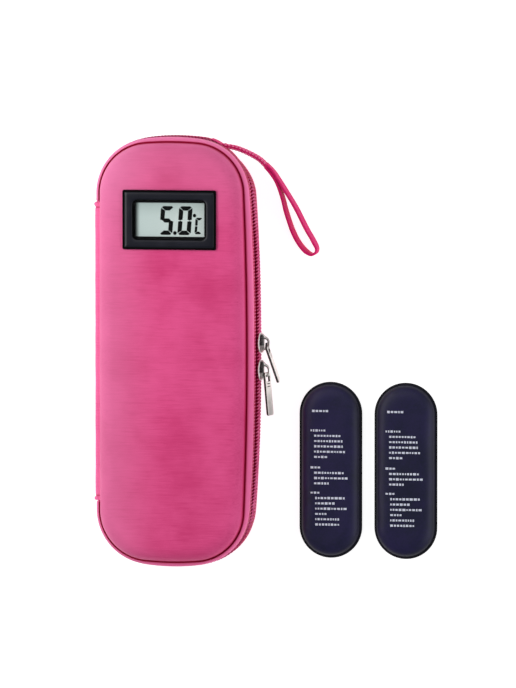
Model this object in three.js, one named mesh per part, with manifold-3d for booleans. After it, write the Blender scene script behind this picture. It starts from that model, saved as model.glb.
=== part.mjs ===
// An insulin cooling case that lies on its back, with its zip, display, wrist strap and gel packs.
// Millimetres. +Z is the front, +X the zip side, +Y the strap end. The origin is the middle of the
// flat face that the case rests on.
import * as THREE from "three";
import { mergeVertices } from "three/addons/utils/BufferGeometryUtils.js";
import Module from "manifold-3d";

const wasm = await Module();
wasm.setup();

const degree = Math.PI / 180;
const quarterTurn = Math.PI / 2;

// Clearances shared by all pieces
const seatGap = 0.3;
const cutOverrun = 1;
const seamHalfGap = 0.15;

// Outline of the case along its groove, seen from the front
const caseHalfWidth = 35.9;
const caseHalfLength = 102.9;
const cornerRadius = 25;
const endRadius = 157;
const rightBow = 1.6;

// Section of a moulded half, from the zip plane to its flat face
const halfThickness = 18.8;
const domeRise = 6.8;
const domeRun = 8;
const grooveHalfWidth = 0.38;
const grooveDepth = 0.8;
const rimReach = 1.55;
const rimRise = 2.6;
const rimTaper = 0.25;
const rimFoot = 3.1;
const rimSideSwell = 1.1;
const rimEndSwell = 0.45;
const faceWall = 3;
const sideWallInset = 1;
const sideSwellReach = 85;
const endSwellReach = 16;

// Insulation, lining and the lining's sewn flange
const insulationThickness = 2.4;
const liningThickness = 0.7;

// Zip: tape and coil
const coilReach = 2.3;
const coilThickness = 1.7;
const coilFoot = 0.55;
const zipSideSwell = 2.5;
const zipEndSwell = 0.6;
const tapeThickness = 0.6;
const tapeInset = 1.9;

// Fabric spine
const spineCornerGap = 4.449;
const spineThickness = 0.8;
const spineReach = 2.15;
const spineMidReach = 3.15;
const tuckRamp = 0.8;

// Display module
const moduleX = 0.4;
const moduleEndGap = 37.7;
const bezelSideGap = 12.7;
const bezelHeight = 29.1;
const bezelThickness = 1.2;
const bezelCorner = 2.6;
const bezelOverlap = 2.2;
const bezelFrame = 5.3;
const windowHeight = 19;
const windowCorner = 1.2;
const skirtDepth = 4;
const moduleWall = 1.2;
const glassThickness = 1;
const panelThickness = 1.8;
const panelInset = 0.8;
const connectorHeight = 2.3;
const connectorWidth = 2.4;
const connectorInset = 2;
const boardThickness = 1;
const driverDiameter = 9;
const driverHeight = 1;
const cellDiameter = 11.6;
const cellHeight = 5.4;
const cellPitch = 13;
const doorThickness = 1.2;
const doorRailWidth = 1.6;
const doorRailHeight = 1;
const doorGripCount = 3;
const doorGripWidth = 1.2;
const doorGripPitch = 2.6;
const doorGripHeight = 0.7;
const doorGripInset = 3;
const clipReach = 3.1;
const clipLength = 8;
const clipThickness = 1.2;
const clipDrop = 1.2;
const glandRadius = 2.4;
const glandNeckRadius = 1.8;
const glandBoreRadius = 1.1;
const glandLength = 4;
const glandCollar = 1.2;
const glandOffset = 12;
const glandDrop = 3.6;

// Mesh pocket in the cover
const netThickness = 0.6;
const netInset = 2.6;
const netModuleGap = 25.2;
const bindingWall = 0.5;
const bindingDepth = 8;
const bindingInset = 6;

// Elastic pen loops in the back half
const loopBandPlace = 36;
const loopBandWidth = 20;
const loopThickness = 0.8;
const loopSideGap = 8.9;
const loopBetween = 1.2;
const loopHeight = 10.2;
const loopCount = 3;

// Sliders and their pulls
const upperSliderY = 4.5;
const lowerSliderY = -8.9;
const sliderLength = 9.8;
const sliderWidth = 8;
const sliderCorner = 2.6;
const sliderPlate = 0.95;
const sliderPlateEdge = 0.5;
const sliderCrownWidth = 3;
const sliderRunGap = 0.45;
const sliderTapeGap = 0.65;
const sliderInnerPlate = 0.9;
const sliderInnerWidth = 3.6;
const sliderWebThickness = 0.5;
const sliderWebLength = 4.8;
const sliderLipThickness = 0.8;
const sliderLipDepth = 1.1;
const bailDrop = 0.6;
const bailHoleHalf = 2.1;
const bailLeg = 1.1;
const bailHoleDepth = 2.5;
const bailBar = 1;
const bailThickness = 1.8;
const bailCorner = 1.2;
const pullLength = 21.2;
const pullWidth = 5.4;
const pullThickness = 1.3;
const pullBarRadius = 0.5;
const pullEyeHalf = 1.9;
const pullEyeLength = 3.6;
const pullCorner = 1.1;
const pullSlotWidth = 2.6;
const pullSlotLength = 1.2;
const pullSlotPlace = 5.6;
const pullRest = 1.6;
const pullPivotDepth = 1.4;
const upperPullSwing = 13 * degree;
const upperPullDroop = 29 * degree;
const lowerPullSwing = 5 * degree;
const lowerPullTwist = -18 * degree;

// Wrist strap. Its routes are set out from the middle of the upper right corner, seen from the
// front, and give heights above the face that the case rests on.
const strapWidth = 6;
const strapThickness = 1.1;
const strapRootThickness = 2.1;
const tabThickness = 0.6;
const tabFrom = 57 * degree;
const tabTo = 77 * degree;
const tabTop = 0.6;
const tabBottom = 9;
const strapRootRoute = [
  [16.40, 23.45, 15.6],
  [18.90, 22.25, 15],
  [21.70, 20.90, 14.2],
  [26.40, 18.55, 13],
  [29.70, 16.35, 12.1],
  [32.10, 13.95, 11.4],
];
const strapLoopRoute = [
  [32.00, 13.05, 11.2],
  [34.70, 9.85, 10.2],
  [37.00, 6.25, 9.1],
  [39.00, 1.30, 8],
  [40.40, -3.65, 7],
  [41.50, -8.65, 6.2],
  [42.90, -13.55, 5.4],
  [44.50, -18.50, 4.6],
  [46.80, -23.45, 3.9],
  [49.10, -26.85, 3.4],
  [51.50, -29.25, 3.2],
  [54.00, -30.45, 3.2],
  [56.00, -29.45, 3.2],
  [56.50, -27.65, 3.2],
  [54.60, -23.45, 3.4],
  [51.80, -18.45, 4],
  [49.40, -13.55, 4.7],
  [47.10, -8.65, 5.6],
  [44.40, -3.65, 6.6],
  [41.50, 1.25, 7.6],
  [38.55, 6.45, 8.9],
  [36.00, 10.55, 10.1],
  [33.00, 14.05, 11.2],
];
const strapRootSteps = 12;
const strapLoopSteps = 40;

// Gel packs that stand beside the case
const packWidth = 31.2;
const packLength = 86.6;
const packThickness = 9;
const packEdge = 9;
const packX = 74.5;
const packPitch = 37.3;
const packY = -58.6;

// Counts of steps round curves
const cornerSteps = 6;
const sideSteps = 8;
const endSteps = 2;
const sectionSteps = 3;
const roundSteps = 20;

// Places worked out from the sizes above
const midZ = halfThickness;
const moduleY = caseHalfLength - moduleEndGap;
const netTop = moduleY - netModuleGap;
const bezelWidth = 2 * (caseHalfWidth - bezelSideGap);
const windowWidth = bezelWidth - 2 * bezelFrame;
const loopHalfWidth = (caseHalfWidth - loopSideGap - loopBetween) / loopCount;
const loopPitch = 2 * loopHalfWidth + loopBetween;
const grooveHeight = halfThickness - domeRise;
const crestHeight = grooveHeight - rimRise;
const bowlRise = halfThickness - faceWall - crestHeight;
const liningInset = seatGap + insulationThickness + seatGap;
const flangeTop = rimFoot - seatGap;
const tapeFoot = flangeTop - tapeThickness;
const tapeReach = coilReach - coilThickness - seatGap;
const netHeight = flangeTop - liningThickness - seatGap - netThickness;
const liningFace = crestHeight + bowlRise - liningInset - liningThickness;

function closedBody(positions, faces) {
  const geometry = new THREE.BufferGeometry();
  geometry.setAttribute("position", new THREE.Float32BufferAttribute(positions, 3));
  let volume = 0;
  const corner = (index) => new THREE.Vector3().fromArray(positions, index * 3);
  for (const [a, b, c] of faces) {
    volume += corner(a).dot(corner(b).cross(corner(c)));
  }
  const facing = volume < 0 ? faces.map(([a, b, c]) => [a, c, b]) : faces;
  geometry.setIndex(facing.flat());
  return geometry;
}

function solidOf(geometry) {
  const loose = geometry.index ? geometry.toNonIndexed() : geometry;
  const bare = new THREE.BufferGeometry();
  bare.setAttribute("position", loose.getAttribute("position"));
  const merged = mergeVertices(bare);
  return new wasm.Manifold(
    new wasm.Mesh({
      numProp: 3,
      vertProperties: merged.attributes.position.array,
      triVerts: new Uint32Array(merged.index.array),
    }),
  );
}

function geometryOf(solid) {
  const made = solid.getMesh();
  const geometry = new THREE.BufferGeometry();
  geometry.setAttribute("position", new THREE.BufferAttribute(made.vertProperties, made.numProp));
  geometry.setIndex(new THREE.BufferAttribute(made.triVerts, 1));
  return geometry;
}

function joined(geometries) {
  const solids = geometries.map(solidOf);
  return geometryOf(solids.reduce((whole, piece) => whole.add(piece)));
}

function cut(geometry, tools) {
  const whole = solidOf(geometry);
  return geometryOf(tools.reduce((rest, tool) => rest.subtract(solidOf(tool)), whole));
}

function common(first, second) {
  return geometryOf(solidOf(first).intersect(solidOf(second)));
}

// A bar with square ends from its lowest corner to its highest
function bar(low, high) {
  const size = high.map((value, axis) => value - low[axis]);
  const box = new THREE.BoxGeometry(...size);
  return box.translate(...low.map((value, axis) => value + size[axis] / 2));
}

function polygon(points) {
  return new THREE.Shape(points.map(([x, y]) => new THREE.Vector2(x, y)));
}

function roundedRectangle(width, height, radius) {
  const x = width / 2;
  const y = height / 2;
  const shape = new THREE.Shape();
  shape.moveTo(x - radius, -y);
  shape.absarc(x - radius, -y + radius, radius, -quarterTurn, 0);
  shape.absarc(x - radius, y - radius, radius, 0, quarterTurn);
  shape.absarc(-x + radius, y - radius, radius, quarterTurn, Math.PI);
  shape.absarc(-x + radius, -y + radius, radius, Math.PI, Math.PI + quarterTurn);
  shape.closePath();
  return shape;
}

// A shape drawn in X and Y, raised between two heights
function raisedZ(shape, from, to) {
  const settings = { depth: to - from, bevelEnabled: false, curveSegments: sectionSteps };
  return new THREE.ExtrudeGeometry(shape, settings).translate(0, 0, from);
}

// A shape drawn in Y and Z, carried along X
function raisedX(shape, from, to) {
  const geometry = raisedZ(shape, from, to);
  const turn = new THREE.Matrix4().makeBasis(
    new THREE.Vector3(0, 1, 0),
    new THREE.Vector3(0, 0, 1),
    new THREE.Vector3(1, 0, 0),
  );
  return geometry.applyMatrix4(turn);
}

// A shape drawn in X and Z, carried along Y
function raisedY(shape, from, to) {
  const geometry = raisedZ(shape, -to, -from);
  return geometry.rotateX(quarterTurn);
}

function mesh(name, geometry, colour, roughness, metalness = 0) {
  const material = new THREE.MeshStandardMaterial({ color: colour, roughness, metalness });
  const made = new THREE.Mesh(geometry, material);
  made.name = name;
  return made;
}

// How far the outline's right side and its ends swell, from 0 to 1, and where the spine tucks in
function weigh(sample) {
  const sideShare = Math.abs(sample.y) / sideSwellReach;
  const endShare = Math.abs(sample.x) / endSwellReach;
  const inEnd = Math.abs(sample.y) > caseHalfLength - cornerRadius;
  const spineRest = spineHalfLength + seatGap + tuckRamp - Math.abs(sample.y);
  return {
    ...sample,
    side: sample.x > 0 ? Math.max(0, 1 - sideShare ** 4) : 0,
    end: inEnd ? Math.max(0, 1 - endShare ** 2) : 0,
    tuck: sample.nx < -0.99 ? THREE.MathUtils.clamp(spineRest / tuckRamp, 0, 1) : 0,
  };
}

// Points along an arc, with the outward direction at each
function arc(centre, radius, from, to, steps) {
  return Array.from({ length: steps + 1 }, (unused, step) => {
    const angle = from + ((to - from) * step) / steps;
    const nx = Math.cos(angle);
    const ny = Math.sin(angle);
    return { x: centre.x + radius * nx, y: centre.y + radius * ny, nx, ny };
  });
}

// The groove line: a straight left side, a bowed right side and bowed ends, with round corners
// between them that touch both. It runs anticlockwise from the middle of the left side.
const endCentre = caseHalfLength - endRadius;
const leftCorner = { x: cornerRadius - caseHalfWidth };
leftCorner.y = endCentre + Math.sqrt((endRadius - cornerRadius) ** 2 - leftCorner.x ** 2);
const sideChord = caseHalfLength - cornerRadius;
const sideRadius = (sideChord ** 2 + rightBow ** 2) / (2 * rightBow);
const sideCentre = caseHalfWidth + rightBow - sideRadius;

function touchingCorner() {
  const apart = Math.hypot(sideCentre, endCentre);
  const fromSide = sideRadius - cornerRadius;
  const fromEnd = endRadius - cornerRadius;
  const along = (fromSide ** 2 - fromEnd ** 2 + apart ** 2) / (2 * apart);
  const across = Math.sqrt(fromSide ** 2 - along ** 2);
  const ux = -sideCentre / apart;
  const uy = endCentre / apart;
  return { x: sideCentre + ux * along - uy * across, y: uy * along + ux * across };
}

const rightCorner = touchingCorner();
const sideTurn = Math.atan2(rightCorner.y, rightCorner.x - sideCentre);
const rightEndTurn = Math.atan2(rightCorner.y - endCentre, rightCorner.x);
const leftEndTurn = Math.atan2(leftCorner.y - endCentre, leftCorner.x);

function leftSide(places) {
  return places.map((y) => ({ x: -caseHalfWidth, y, nx: -1, ny: 0 }));
}

function flipped(point) {
  return { x: point.x, y: -point.y };
}

const zipPath = [
  ...arc(flipped(leftCorner), cornerRadius, Math.PI, 2 * Math.PI - leftEndTurn, cornerSteps),
  ...arc({ x: 0, y: -endCentre }, endRadius, -leftEndTurn, -rightEndTurn, endSteps).slice(1),
  ...arc(flipped(rightCorner), cornerRadius, -rightEndTurn, -sideTurn, cornerSteps).slice(1),
  ...arc({ x: sideCentre, y: 0 }, sideRadius, -sideTurn, sideTurn, sideSteps).slice(1),
  ...arc(rightCorner, cornerRadius, sideTurn, rightEndTurn, cornerSteps).slice(1),
  ...arc({ x: 0, y: endCentre }, endRadius, rightEndTurn, leftEndTurn, endSteps).slice(1),
  ...arc(leftCorner, cornerRadius, leftEndTurn, Math.PI, cornerSteps).slice(1),
];
const spineHalfLength = leftCorner.y - spineCornerGap;
const spineRestEnd = spineHalfLength + seatGap;
const spineRampEnd = spineRestEnd + tuckRamp;
const zipEnd = spineRampEnd + seatGap;
const outline = [
  ...zipPath,
  ...leftSide([spineRampEnd, spineRestEnd, 0, -spineRestEnd, -spineRampEnd]),
].map(weigh);
const zipTrack = [...leftSide([-zipEnd]), ...zipPath, ...leftSide([zipEnd])].map(weigh);
const spineTrack = leftSide([spineHalfLength, -spineHalfLength]).map(weigh);
const tabTrack = arc(rightCorner, cornerRadius, tabFrom, tabTo, cornerSteps / 2).map(weigh);

// A point of a section, set out from the groove line at a sample of the outline
function placed(sample, point, side) {
  const swell = (point.side ?? 0) * sample.side + (point.end ?? 0) * sample.end;
  const out = point.out + swell - (point.tuckOut ?? 0) * sample.tuck;
  const height = point.height - (point.tuckDown ?? 0) * sample.tuck;
  return [sample.x + sample.nx * out, sample.y + sample.ny * out, midZ + side * height];
}

// Quarter of an ellipse, as points of a section
function quarter(centreOut, centreHeight, run, rise, from, to) {
  return Array.from({ length: sectionSteps + 1 }, (unused, step) => {
    const angle = from + ((to - from) * step) / sectionSteps;
    const cos = Math.cos(angle);
    const sin = Math.sin(angle);
    return { out: centreOut + run * cos, height: centreHeight + rise * sin, cos, sin };
  });
}

// A closed shell: rings round the outline, closed over the middle at the first and the last ring
function shellBody(samples, rings, side) {
  const count = samples.length;
  const positions = rings.flatMap((ring) => samples.flatMap((at) => placed(at, ring, side)));
  const faces = [];
  for (let ring = 0; ring + 1 < rings.length; ring += 1) {
    for (let at = 0; at < count; at += 1) {
      const next = (at + 1) % count;
      const here = ring * count;
      const below = here + count;
      faces.push([here + at, below + at, below + next]);
      faces.push([here + at, below + next, here + next]);
    }
  }
  const first = positions.length / 3;
  const lastRing = (rings.length - 1) * count;
  positions.push(0, 0, midZ + side * rings[0].height);
  positions.push(0, 0, midZ + side * rings.at(-1).height);
  for (let at = 0; at < count; at += 1) {
    const next = (at + 1) % count;
    faces.push([first, at, next]);
    faces.push([first + 1, lastRing + next, lastRing + at]);
  }
  return closedBody(positions, faces);
}

// A strip: a closed section carried along part of the outline, with flat ends
function stripBody(samples, section, side) {
  const count = section.length;
  const positions = samples.flatMap((at) => section.flatMap((point) => placed(at, point, side)));
  const faces = [];
  for (let at = 0; at + 1 < samples.length; at += 1) {
    for (let point = 0; point < count; point += 1) {
      const next = (point + 1) % count;
      const here = at * count;
      const ahead = here + count;
      faces.push([here + point, ahead + point, ahead + next]);
      faces.push([here + point, ahead + next, here + next]);
    }
  }
  const flat = section.map((point) => new THREE.Vector2(point.out, point.height));
  const clockwise = THREE.ShapeUtils.isClockWise(flat);
  const last = (samples.length - 1) * count;
  for (const [a, b, c] of THREE.ShapeUtils.triangulateShape(flat, [])) {
    const near = clockwise ? [a, c, b] : [a, b, c];
    faces.push(near);
    faces.push(near.map((index) => index + last).reverse());
  }
  return closedBody(positions, faces);
}

// A moulded half: domed face, groove, rounded rim, and the inner wall
const tuckOut = rimReach - (spineReach - spineThickness - seatGap);
const tuckDown = spineThickness + seatGap;
const rimSwell = { side: rimSideSwell, end: rimEndSwell };

function halfRings() {
  const domeSpan = domeRun - grooveHalfWidth;
  const dome = quarter(-domeRun, grooveHeight, domeSpan, domeRise, quarterTurn, 0);
  const groove = { out: 0, height: grooveHeight - grooveDepth };
  const rim = quarter(grooveHalfWidth, crestHeight, rimReach, rimRise, quarterTurn, 0);
  const roll = rim.map((point) => ({
    ...point,
    side: rimSideSwell * point.cos,
    end: rimEndSwell * point.cos,
    tuckOut: tuckOut * point.cos,
    tuckDown: tuckDown * point.sin,
  }));
  const footOut = grooveHalfWidth + rimReach - rimTaper;
  const foot = { ...rimSwell, out: footOut, height: rimFoot, tuckOut };
  const lip = { out: -sideWallInset, height: rimFoot };
  return [...dome, groove, ...roll, foot, lip, ...bowl(0)];
}

// The line of the inner wall, set in by an inset, from the side up to the face
function bowl(inset) {
  const run = domeRun - sideWallInset - inset;
  return quarter(-domeRun, crestHeight, run, bowlRise - inset, 0, quarterTurn);
}

function insulationRings() {
  const outer = bowl(seatGap).reverse();
  const inner = bowl(seatGap + insulationThickness);
  const footOuter = { out: outer.at(-1).out, height: rimFoot };
  const footInner = { out: inner[0].out, height: rimFoot };
  return [...outer, footOuter, footInner, ...inner];
}

const flangeReach = tapeInset + seatGap;

function liningRings() {
  const outer = bowl(liningInset).reverse();
  const inner = bowl(liningInset + liningThickness);
  const flangeFoot = flangeTop - liningThickness;
  return [
    ...outer,
    { out: outer.at(-1).out, height: flangeTop },
    { out: -flangeReach, height: flangeTop },
    { out: -flangeReach, height: flangeFoot },
    { out: inner[0].out, height: flangeFoot },
    ...inner,
  ];
}

const zipSwell = { side: zipSideSwell, end: zipEndSwell };

function tapeSection() {
  const inner = tapeReach - tapeThickness;
  return [
    { ...zipSwell, out: tapeReach, height: coilFoot },
    { ...zipSwell, out: tapeReach, height: flangeTop },
    { out: -tapeInset, height: flangeTop },
    { out: -tapeInset, height: tapeFoot },
    { ...zipSwell, out: inner, height: tapeFoot },
    { ...zipSwell, out: inner, height: coilFoot },
  ];
}

function coilSection() {
  const inner = coilReach - coilThickness;
  const chamfer = coilThickness / 3;
  return [
    { ...zipSwell, out: coilReach, height: coilFoot },
    { ...zipSwell, out: coilReach, height: flangeTop - chamfer },
    { ...zipSwell, out: coilReach - chamfer, height: flangeTop },
    { ...zipSwell, out: inner, height: flangeTop },
    { ...zipSwell, out: inner, height: coilFoot },
  ];
}

function spineSection() {
  const innerReach = spineReach - spineThickness;
  const innerRise = rimRise - spineThickness;
  return [
    ...quarter(grooveHalfWidth, crestHeight, spineReach, rimRise, quarterTurn, 0),
    { out: spineMidReach, height: seamHalfGap },
    { out: spineMidReach - spineThickness, height: seamHalfGap },
    ...quarter(grooveHalfWidth, crestHeight, innerReach, innerRise, 0, quarterTurn),
  ];
}

// Module heights, from the flange down
const bezelFoot = midZ + halfThickness + seatGap;
const skirtWidth = bezelWidth - 2 * bezelOverlap;
const skirtHeight = bezelHeight - 2 * bezelOverlap;
const skirtCorner = bezelCorner - moduleWall / 2;
const hollowWidth = skirtWidth - 2 * moduleWall;
const hollowHeight = skirtHeight - 2 * moduleWall;
const fitWidth = hollowWidth - 2 * seatGap;
const fitHeight = hollowHeight - 2 * seatGap;
const skirtFoot = bezelFoot - skirtDepth;
const glassTop = bezelFoot - seatGap;
const panelTop = glassTop - glassThickness - seatGap;
const connectorTop = panelTop - panelThickness - seatGap;
const boardTop = connectorTop - connectorHeight - seatGap;
const cellTop = boardTop - boardThickness - seatGap;
const doorTop = cellTop - cellHeight - seatGap;
const railTop = doorTop - doorThickness - seatGap;
const housingFoot = railTop - doorRailHeight;
const housingTop = skirtFoot - seatGap;

// A rounded plate centred on the module
function modulePlate(width, height, radius, low, high) {
  const plate = raisedZ(roundedRectangle(width, height, radius), low, high);
  return plate.translate(moduleX, moduleY, 0);
}

// A square-cornered block centred on the module, given by its limits from the module's middle
function moduleBlock(left, right, halfDepth, low, high) {
  const from = [moduleX + left, moduleY - halfDepth, low];
  const to = [moduleX + right, moduleY + halfDepth, high];
  return bar(from, to);
}

function bezel() {
  const flange = modulePlate(
    bezelWidth,
    bezelHeight,
    bezelCorner,
    bezelFoot,
    bezelFoot + bezelThickness,
  );
  const skirt = modulePlate(skirtWidth, skirtHeight, skirtCorner, skirtFoot, bezelFoot + seamHalfGap);
  const hollow = modulePlate(
    hollowWidth,
    hollowHeight,
    windowCorner,
    skirtFoot - cutOverrun,
    bezelFoot,
  );
  const opening = modulePlate(
    windowWidth,
    windowHeight,
    windowCorner,
    skirtFoot,
    bezelFoot + bezelThickness + cutOverrun,
  );
  return cut(joined([flange, skirt]), [hollow, opening]);
}

function circuitBoard() {
  const low = boardTop - boardThickness;
  const board = modulePlate(fitWidth, fitHeight, windowCorner, low, boardTop);
  const driver = new THREE.CylinderGeometry(
    driverDiameter / 2,
    driverDiameter / 2,
    driverHeight + seamHalfGap,
    roundSteps,
  );
  driver.rotateX(quarterTurn);
  driver.translate(moduleX, moduleY, boardTop + (driverHeight - seamHalfGap) / 2);
  return joined([board, driver]);
}

function housing() {
  const halfHollow = hollowWidth / 2;
  const halfDepth = hollowHeight / 2;
  const outer = modulePlate(skirtWidth, skirtHeight, skirtCorner, housingFoot, housingTop);
  const hollow = moduleBlock(-halfHollow, halfHollow, halfDepth, railTop, housingTop + cutOverrun);
  const slotEnd = skirtWidth / 2 + cutOverrun;
  const doorSlot = moduleBlock(0, slotEnd, halfDepth, railTop, doorTop + seatGap);
  const betweenRails = moduleBlock(
    -halfHollow,
    slotEnd,
    halfDepth - doorRailWidth,
    housingFoot - cutOverrun,
    railTop + cutOverrun,
  );
  return cut(outer, [hollow, doorSlot, betweenRails]);
}

function batteryDoor() {
  const right = skirtWidth / 2;
  const low = doorTop - doorThickness;
  const plate = moduleBlock(seatGap - hollowWidth / 2, right, fitHeight / 2, low, doorTop);
  const gripHalf = hollowHeight / 2 - doorRailWidth - seatGap;
  const grips = Array.from({ length: doorGripCount }, (unused, index) => {
    const outer = right - doorGripInset - index * doorGripPitch;
    const foot = low - doorGripHeight;
    return moduleBlock(outer - doorGripWidth, outer, gripHalf, foot, low + seamHalfGap);
  });
  return joined([plate, ...grips]);
}

const clipInner = skirtWidth / 2 + seatGap;
const clipTop = midZ + halfThickness - faceWall - seatGap;

function clip(direction) {
  const outer = clipInner + clipReach;
  const foot = clipTop - clipThickness - clipDrop;
  const section = polygon([
    [clipInner, foot],
    [clipInner + clipThickness, foot],
    [clipInner + clipThickness, clipTop - clipThickness],
    [outer, clipTop - clipThickness],
    [outer, clipTop],
    [clipInner, clipTop],
  ]);
  const piece = raisedY(section, -clipLength / 2, clipLength / 2);
  if (direction < 0) {
    piece.rotateZ(Math.PI);
  }
  return piece.translate(moduleX, moduleY, 0);
}

function gland() {
  const profile = [
    [glandBoreRadius, 0],
    [glandRadius, 0],
    [glandRadius, glandCollar],
    [glandNeckRadius, glandCollar],
    [glandNeckRadius, glandLength],
    [glandBoreRadius, glandLength],
    [glandBoreRadius, 0],
  ].map(([radius, along]) => new THREE.Vector2(radius, along));
  const ring = new THREE.LatheGeometry(profile, roundSteps);
  ring.rotateX(Math.PI);
  const wall = moduleY - skirtHeight / 2 - seatGap;
  return ring.translate(moduleX - glandOffset, wall, cellTop - glandDrop);
}

function cell(direction) {
  const round = new THREE.CylinderGeometry(cellDiameter / 2, cellDiameter / 2, cellHeight, roundSteps);
  round.rotateX(quarterTurn);
  const x = moduleX + (direction * cellPitch) / 2;
  return round.translate(x, moduleY, cellTop - cellHeight / 2);
}

// What the module needs cut out of the shell, the insulation and the lining of the cover
function moduleCut(extraWidth) {
  const width = skirtWidth + 2 * seatGap + 2 * extraWidth;
  const height = skirtHeight + 2 * seatGap;
  const high = bezelFoot + cutOverrun;
  return modulePlate(width, height, skirtCorner, housingFoot, high);
}

function meshPocket() {
  const edge = outline.map((sample) => {
    const [x, y] = placed(sample, { out: -netInset, height: 0 }, 1);
    return [x, y];
  });
  const whole = raisedZ(polygon(edge), midZ + netHeight, midZ + netHeight + netThickness);
  const reach = caseHalfLength + caseHalfWidth;
  const above = bar([-reach, netTop, 0], [reach, reach, 2 * midZ]);
  return cut(whole, [above]);
}

function pocketBinding() {
  const half = netThickness / 2 + seatGap;
  const centre = midZ + netHeight + netThickness / 2;
  const foot = netTop + seatGap + bindingWall - bindingDepth;
  const top = netTop + seatGap;
  const section = polygon([
    [foot, centre - half - bindingWall],
    [top + bindingWall, centre - half - bindingWall],
    [top + bindingWall, centre + half + bindingWall],
    [foot, centre + half + bindingWall],
    [foot, centre + half],
    [top, centre + half],
    [top, centre - half],
    [foot, centre - half],
  ]);
  return raisedX(section, bindingInset - caseHalfWidth, caseHalfWidth - bindingInset);
}

// An elastic band sewn down between three arches
function penLoops(direction) {
  const floor = midZ - liningFace + seatGap;
  const archFloor = floor + loopThickness;
  const shape = new THREE.Shape();
  const places = Array.from({ length: loopCount }, (unused, index) => {
    return (index - (loopCount - 1) / 2) * loopPitch;
  });
  const edge = places.at(-1) + loopHalfWidth;
  shape.moveTo(-edge, floor);
  shape.lineTo(edge, floor);
  for (const place of places.toReversed()) {
    shape.lineTo(place + loopHalfWidth, archFloor);
    shape.absellipse(place, archFloor, loopHalfWidth, loopHeight, 0, Math.PI);
  }
  shape.closePath();
  for (const place of places) {
    const hole = new THREE.Path();
    const innerWidth = loopHalfWidth - loopThickness;
    hole.absellipse(place, archFloor, innerWidth, loopHeight - loopThickness, 0, Math.PI);
    hole.closePath();
    shape.holes.push(hole);
  }
  const middle = direction * loopBandPlace;
  const settings = { depth: loopBandWidth, bevelEnabled: false, curveSegments: cornerSteps };
  const band = new THREE.ExtrudeGeometry(shape, settings);
  return band.rotateX(quarterTurn).translate(0, middle + loopBandWidth / 2, 0);
}

// A slider in its own frame: x is out from the coil, y along the zip, z across it
const coilFace = caseHalfWidth + rightBow + coilReach + zipSideSwell;
const plateInner = sliderRunGap;
const plateOuter = sliderRunGap + sliderPlate;
const innerPlateOuter = -(coilThickness + seatGap + tapeThickness + sliderTapeGap);

function sliderPlateBody() {
  const half = sliderWidth / 2;
  const crown = sliderCrownWidth / 2;
  const edge = plateInner + sliderPlateEdge;
  const section = polygon([
    [plateInner, -half],
    [edge, -half],
    [plateOuter, -crown],
    [plateOuter, crown],
    [edge, half],
    [plateInner, half],
  ]);
  const ridge = raisedY(section, -sliderLength / 2, sliderLength / 2);
  const plan = roundedRectangle(sliderLength, sliderWidth, sliderCorner);
  return common(ridge, raisedX(plan, 0, plateOuter + cutOverrun));
}

function bailBody() {
  const halfOuter = bailHoleHalf + bailLeg;
  const top = plateOuter + bailHoleDepth + bailBar;
  const foot = plateInner + sliderPlate / 2;
  const arch = new THREE.Shape();
  arch.moveTo(foot, halfOuter);
  arch.lineTo(foot, -halfOuter);
  arch.absarc(top - bailCorner, bailCorner - halfOuter, bailCorner, -quarterTurn, 0);
  arch.absarc(top - bailCorner, halfOuter - bailCorner, bailCorner, 0, quarterTurn);
  arch.closePath();
  const hole = polygon([
    [plateOuter, -bailHoleHalf],
    [plateOuter + bailHoleDepth, -bailHoleHalf],
    [plateOuter + bailHoleDepth, bailHoleHalf],
    [plateOuter, bailHoleHalf],
  ]);
  arch.holes.push(hole);
  return raisedZ(arch, -bailThickness / 2, bailThickness / 2).translate(0, -bailDrop, 0);
}

function sliderBody() {
  const inner = innerPlateOuter - sliderInnerPlate;
  const innerHalf = sliderInnerWidth / 2;
  const webHalf = sliderWebThickness / 2;
  const halfLength = sliderLength / 2 - sliderCorner;
  const lipOuter = -(flangeTop + seatGap);
  const innerPlate = bar([inner, -halfLength, -innerHalf], [innerPlateOuter, halfLength, innerHalf]);
  const web = bar(
    [innerPlateOuter - seamHalfGap, -sliderWebLength / 2, -webHalf],
    [plateInner + seamHalfGap, sliderWebLength / 2, webHalf],
  );
  const lip = bar(
    [plateInner - sliderLipDepth, -halfLength, lipOuter - sliderLipThickness],
    [plateInner + seamHalfGap, halfLength, lipOuter],
  );
  return joined([sliderPlateBody(), bailBody(), innerPlate, web, lip]);
}

// A pull in its own frame: it hangs along -Y from its bar, which lies along Z
function pullBody() {
  const half = pullWidth / 2;
  const foot = pullBarRadius - pullLength;
  const plate = new THREE.Shape();
  plate.moveTo(-pullEyeHalf, pullBarRadius);
  plate.lineTo(-half, pullBarRadius);
  plate.absarc(pullCorner - half, foot + pullCorner, pullCorner, Math.PI, Math.PI + quarterTurn);
  plate.absarc(half - pullCorner, foot + pullCorner, pullCorner, -quarterTurn, 0);
  plate.lineTo(half, pullBarRadius);
  plate.lineTo(pullEyeHalf, pullBarRadius);
  plate.lineTo(pullEyeHalf, -pullBarRadius - pullEyeLength);
  plate.lineTo(-pullEyeHalf, -pullBarRadius - pullEyeLength);
  plate.closePath();
  const slot = roundedRectangle(pullSlotWidth, pullSlotLength, pullSlotLength / 4);
  const slotHole = new THREE.Path(
    slot.getPoints(sectionSteps).map((point) => new THREE.Vector2(point.x, point.y - pullSlotPlace)),
  );
  plate.holes.push(slotHole);
  const body = raisedZ(plate, -pullThickness / 2, pullThickness / 2).rotateY(quarterTurn);
  const pin = new THREE.CylinderGeometry(pullBarRadius, pullBarRadius, pullWidth, 2 * cornerSteps);
  return joined([body, pin.rotateX(quarterTurn)]);
}

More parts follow.
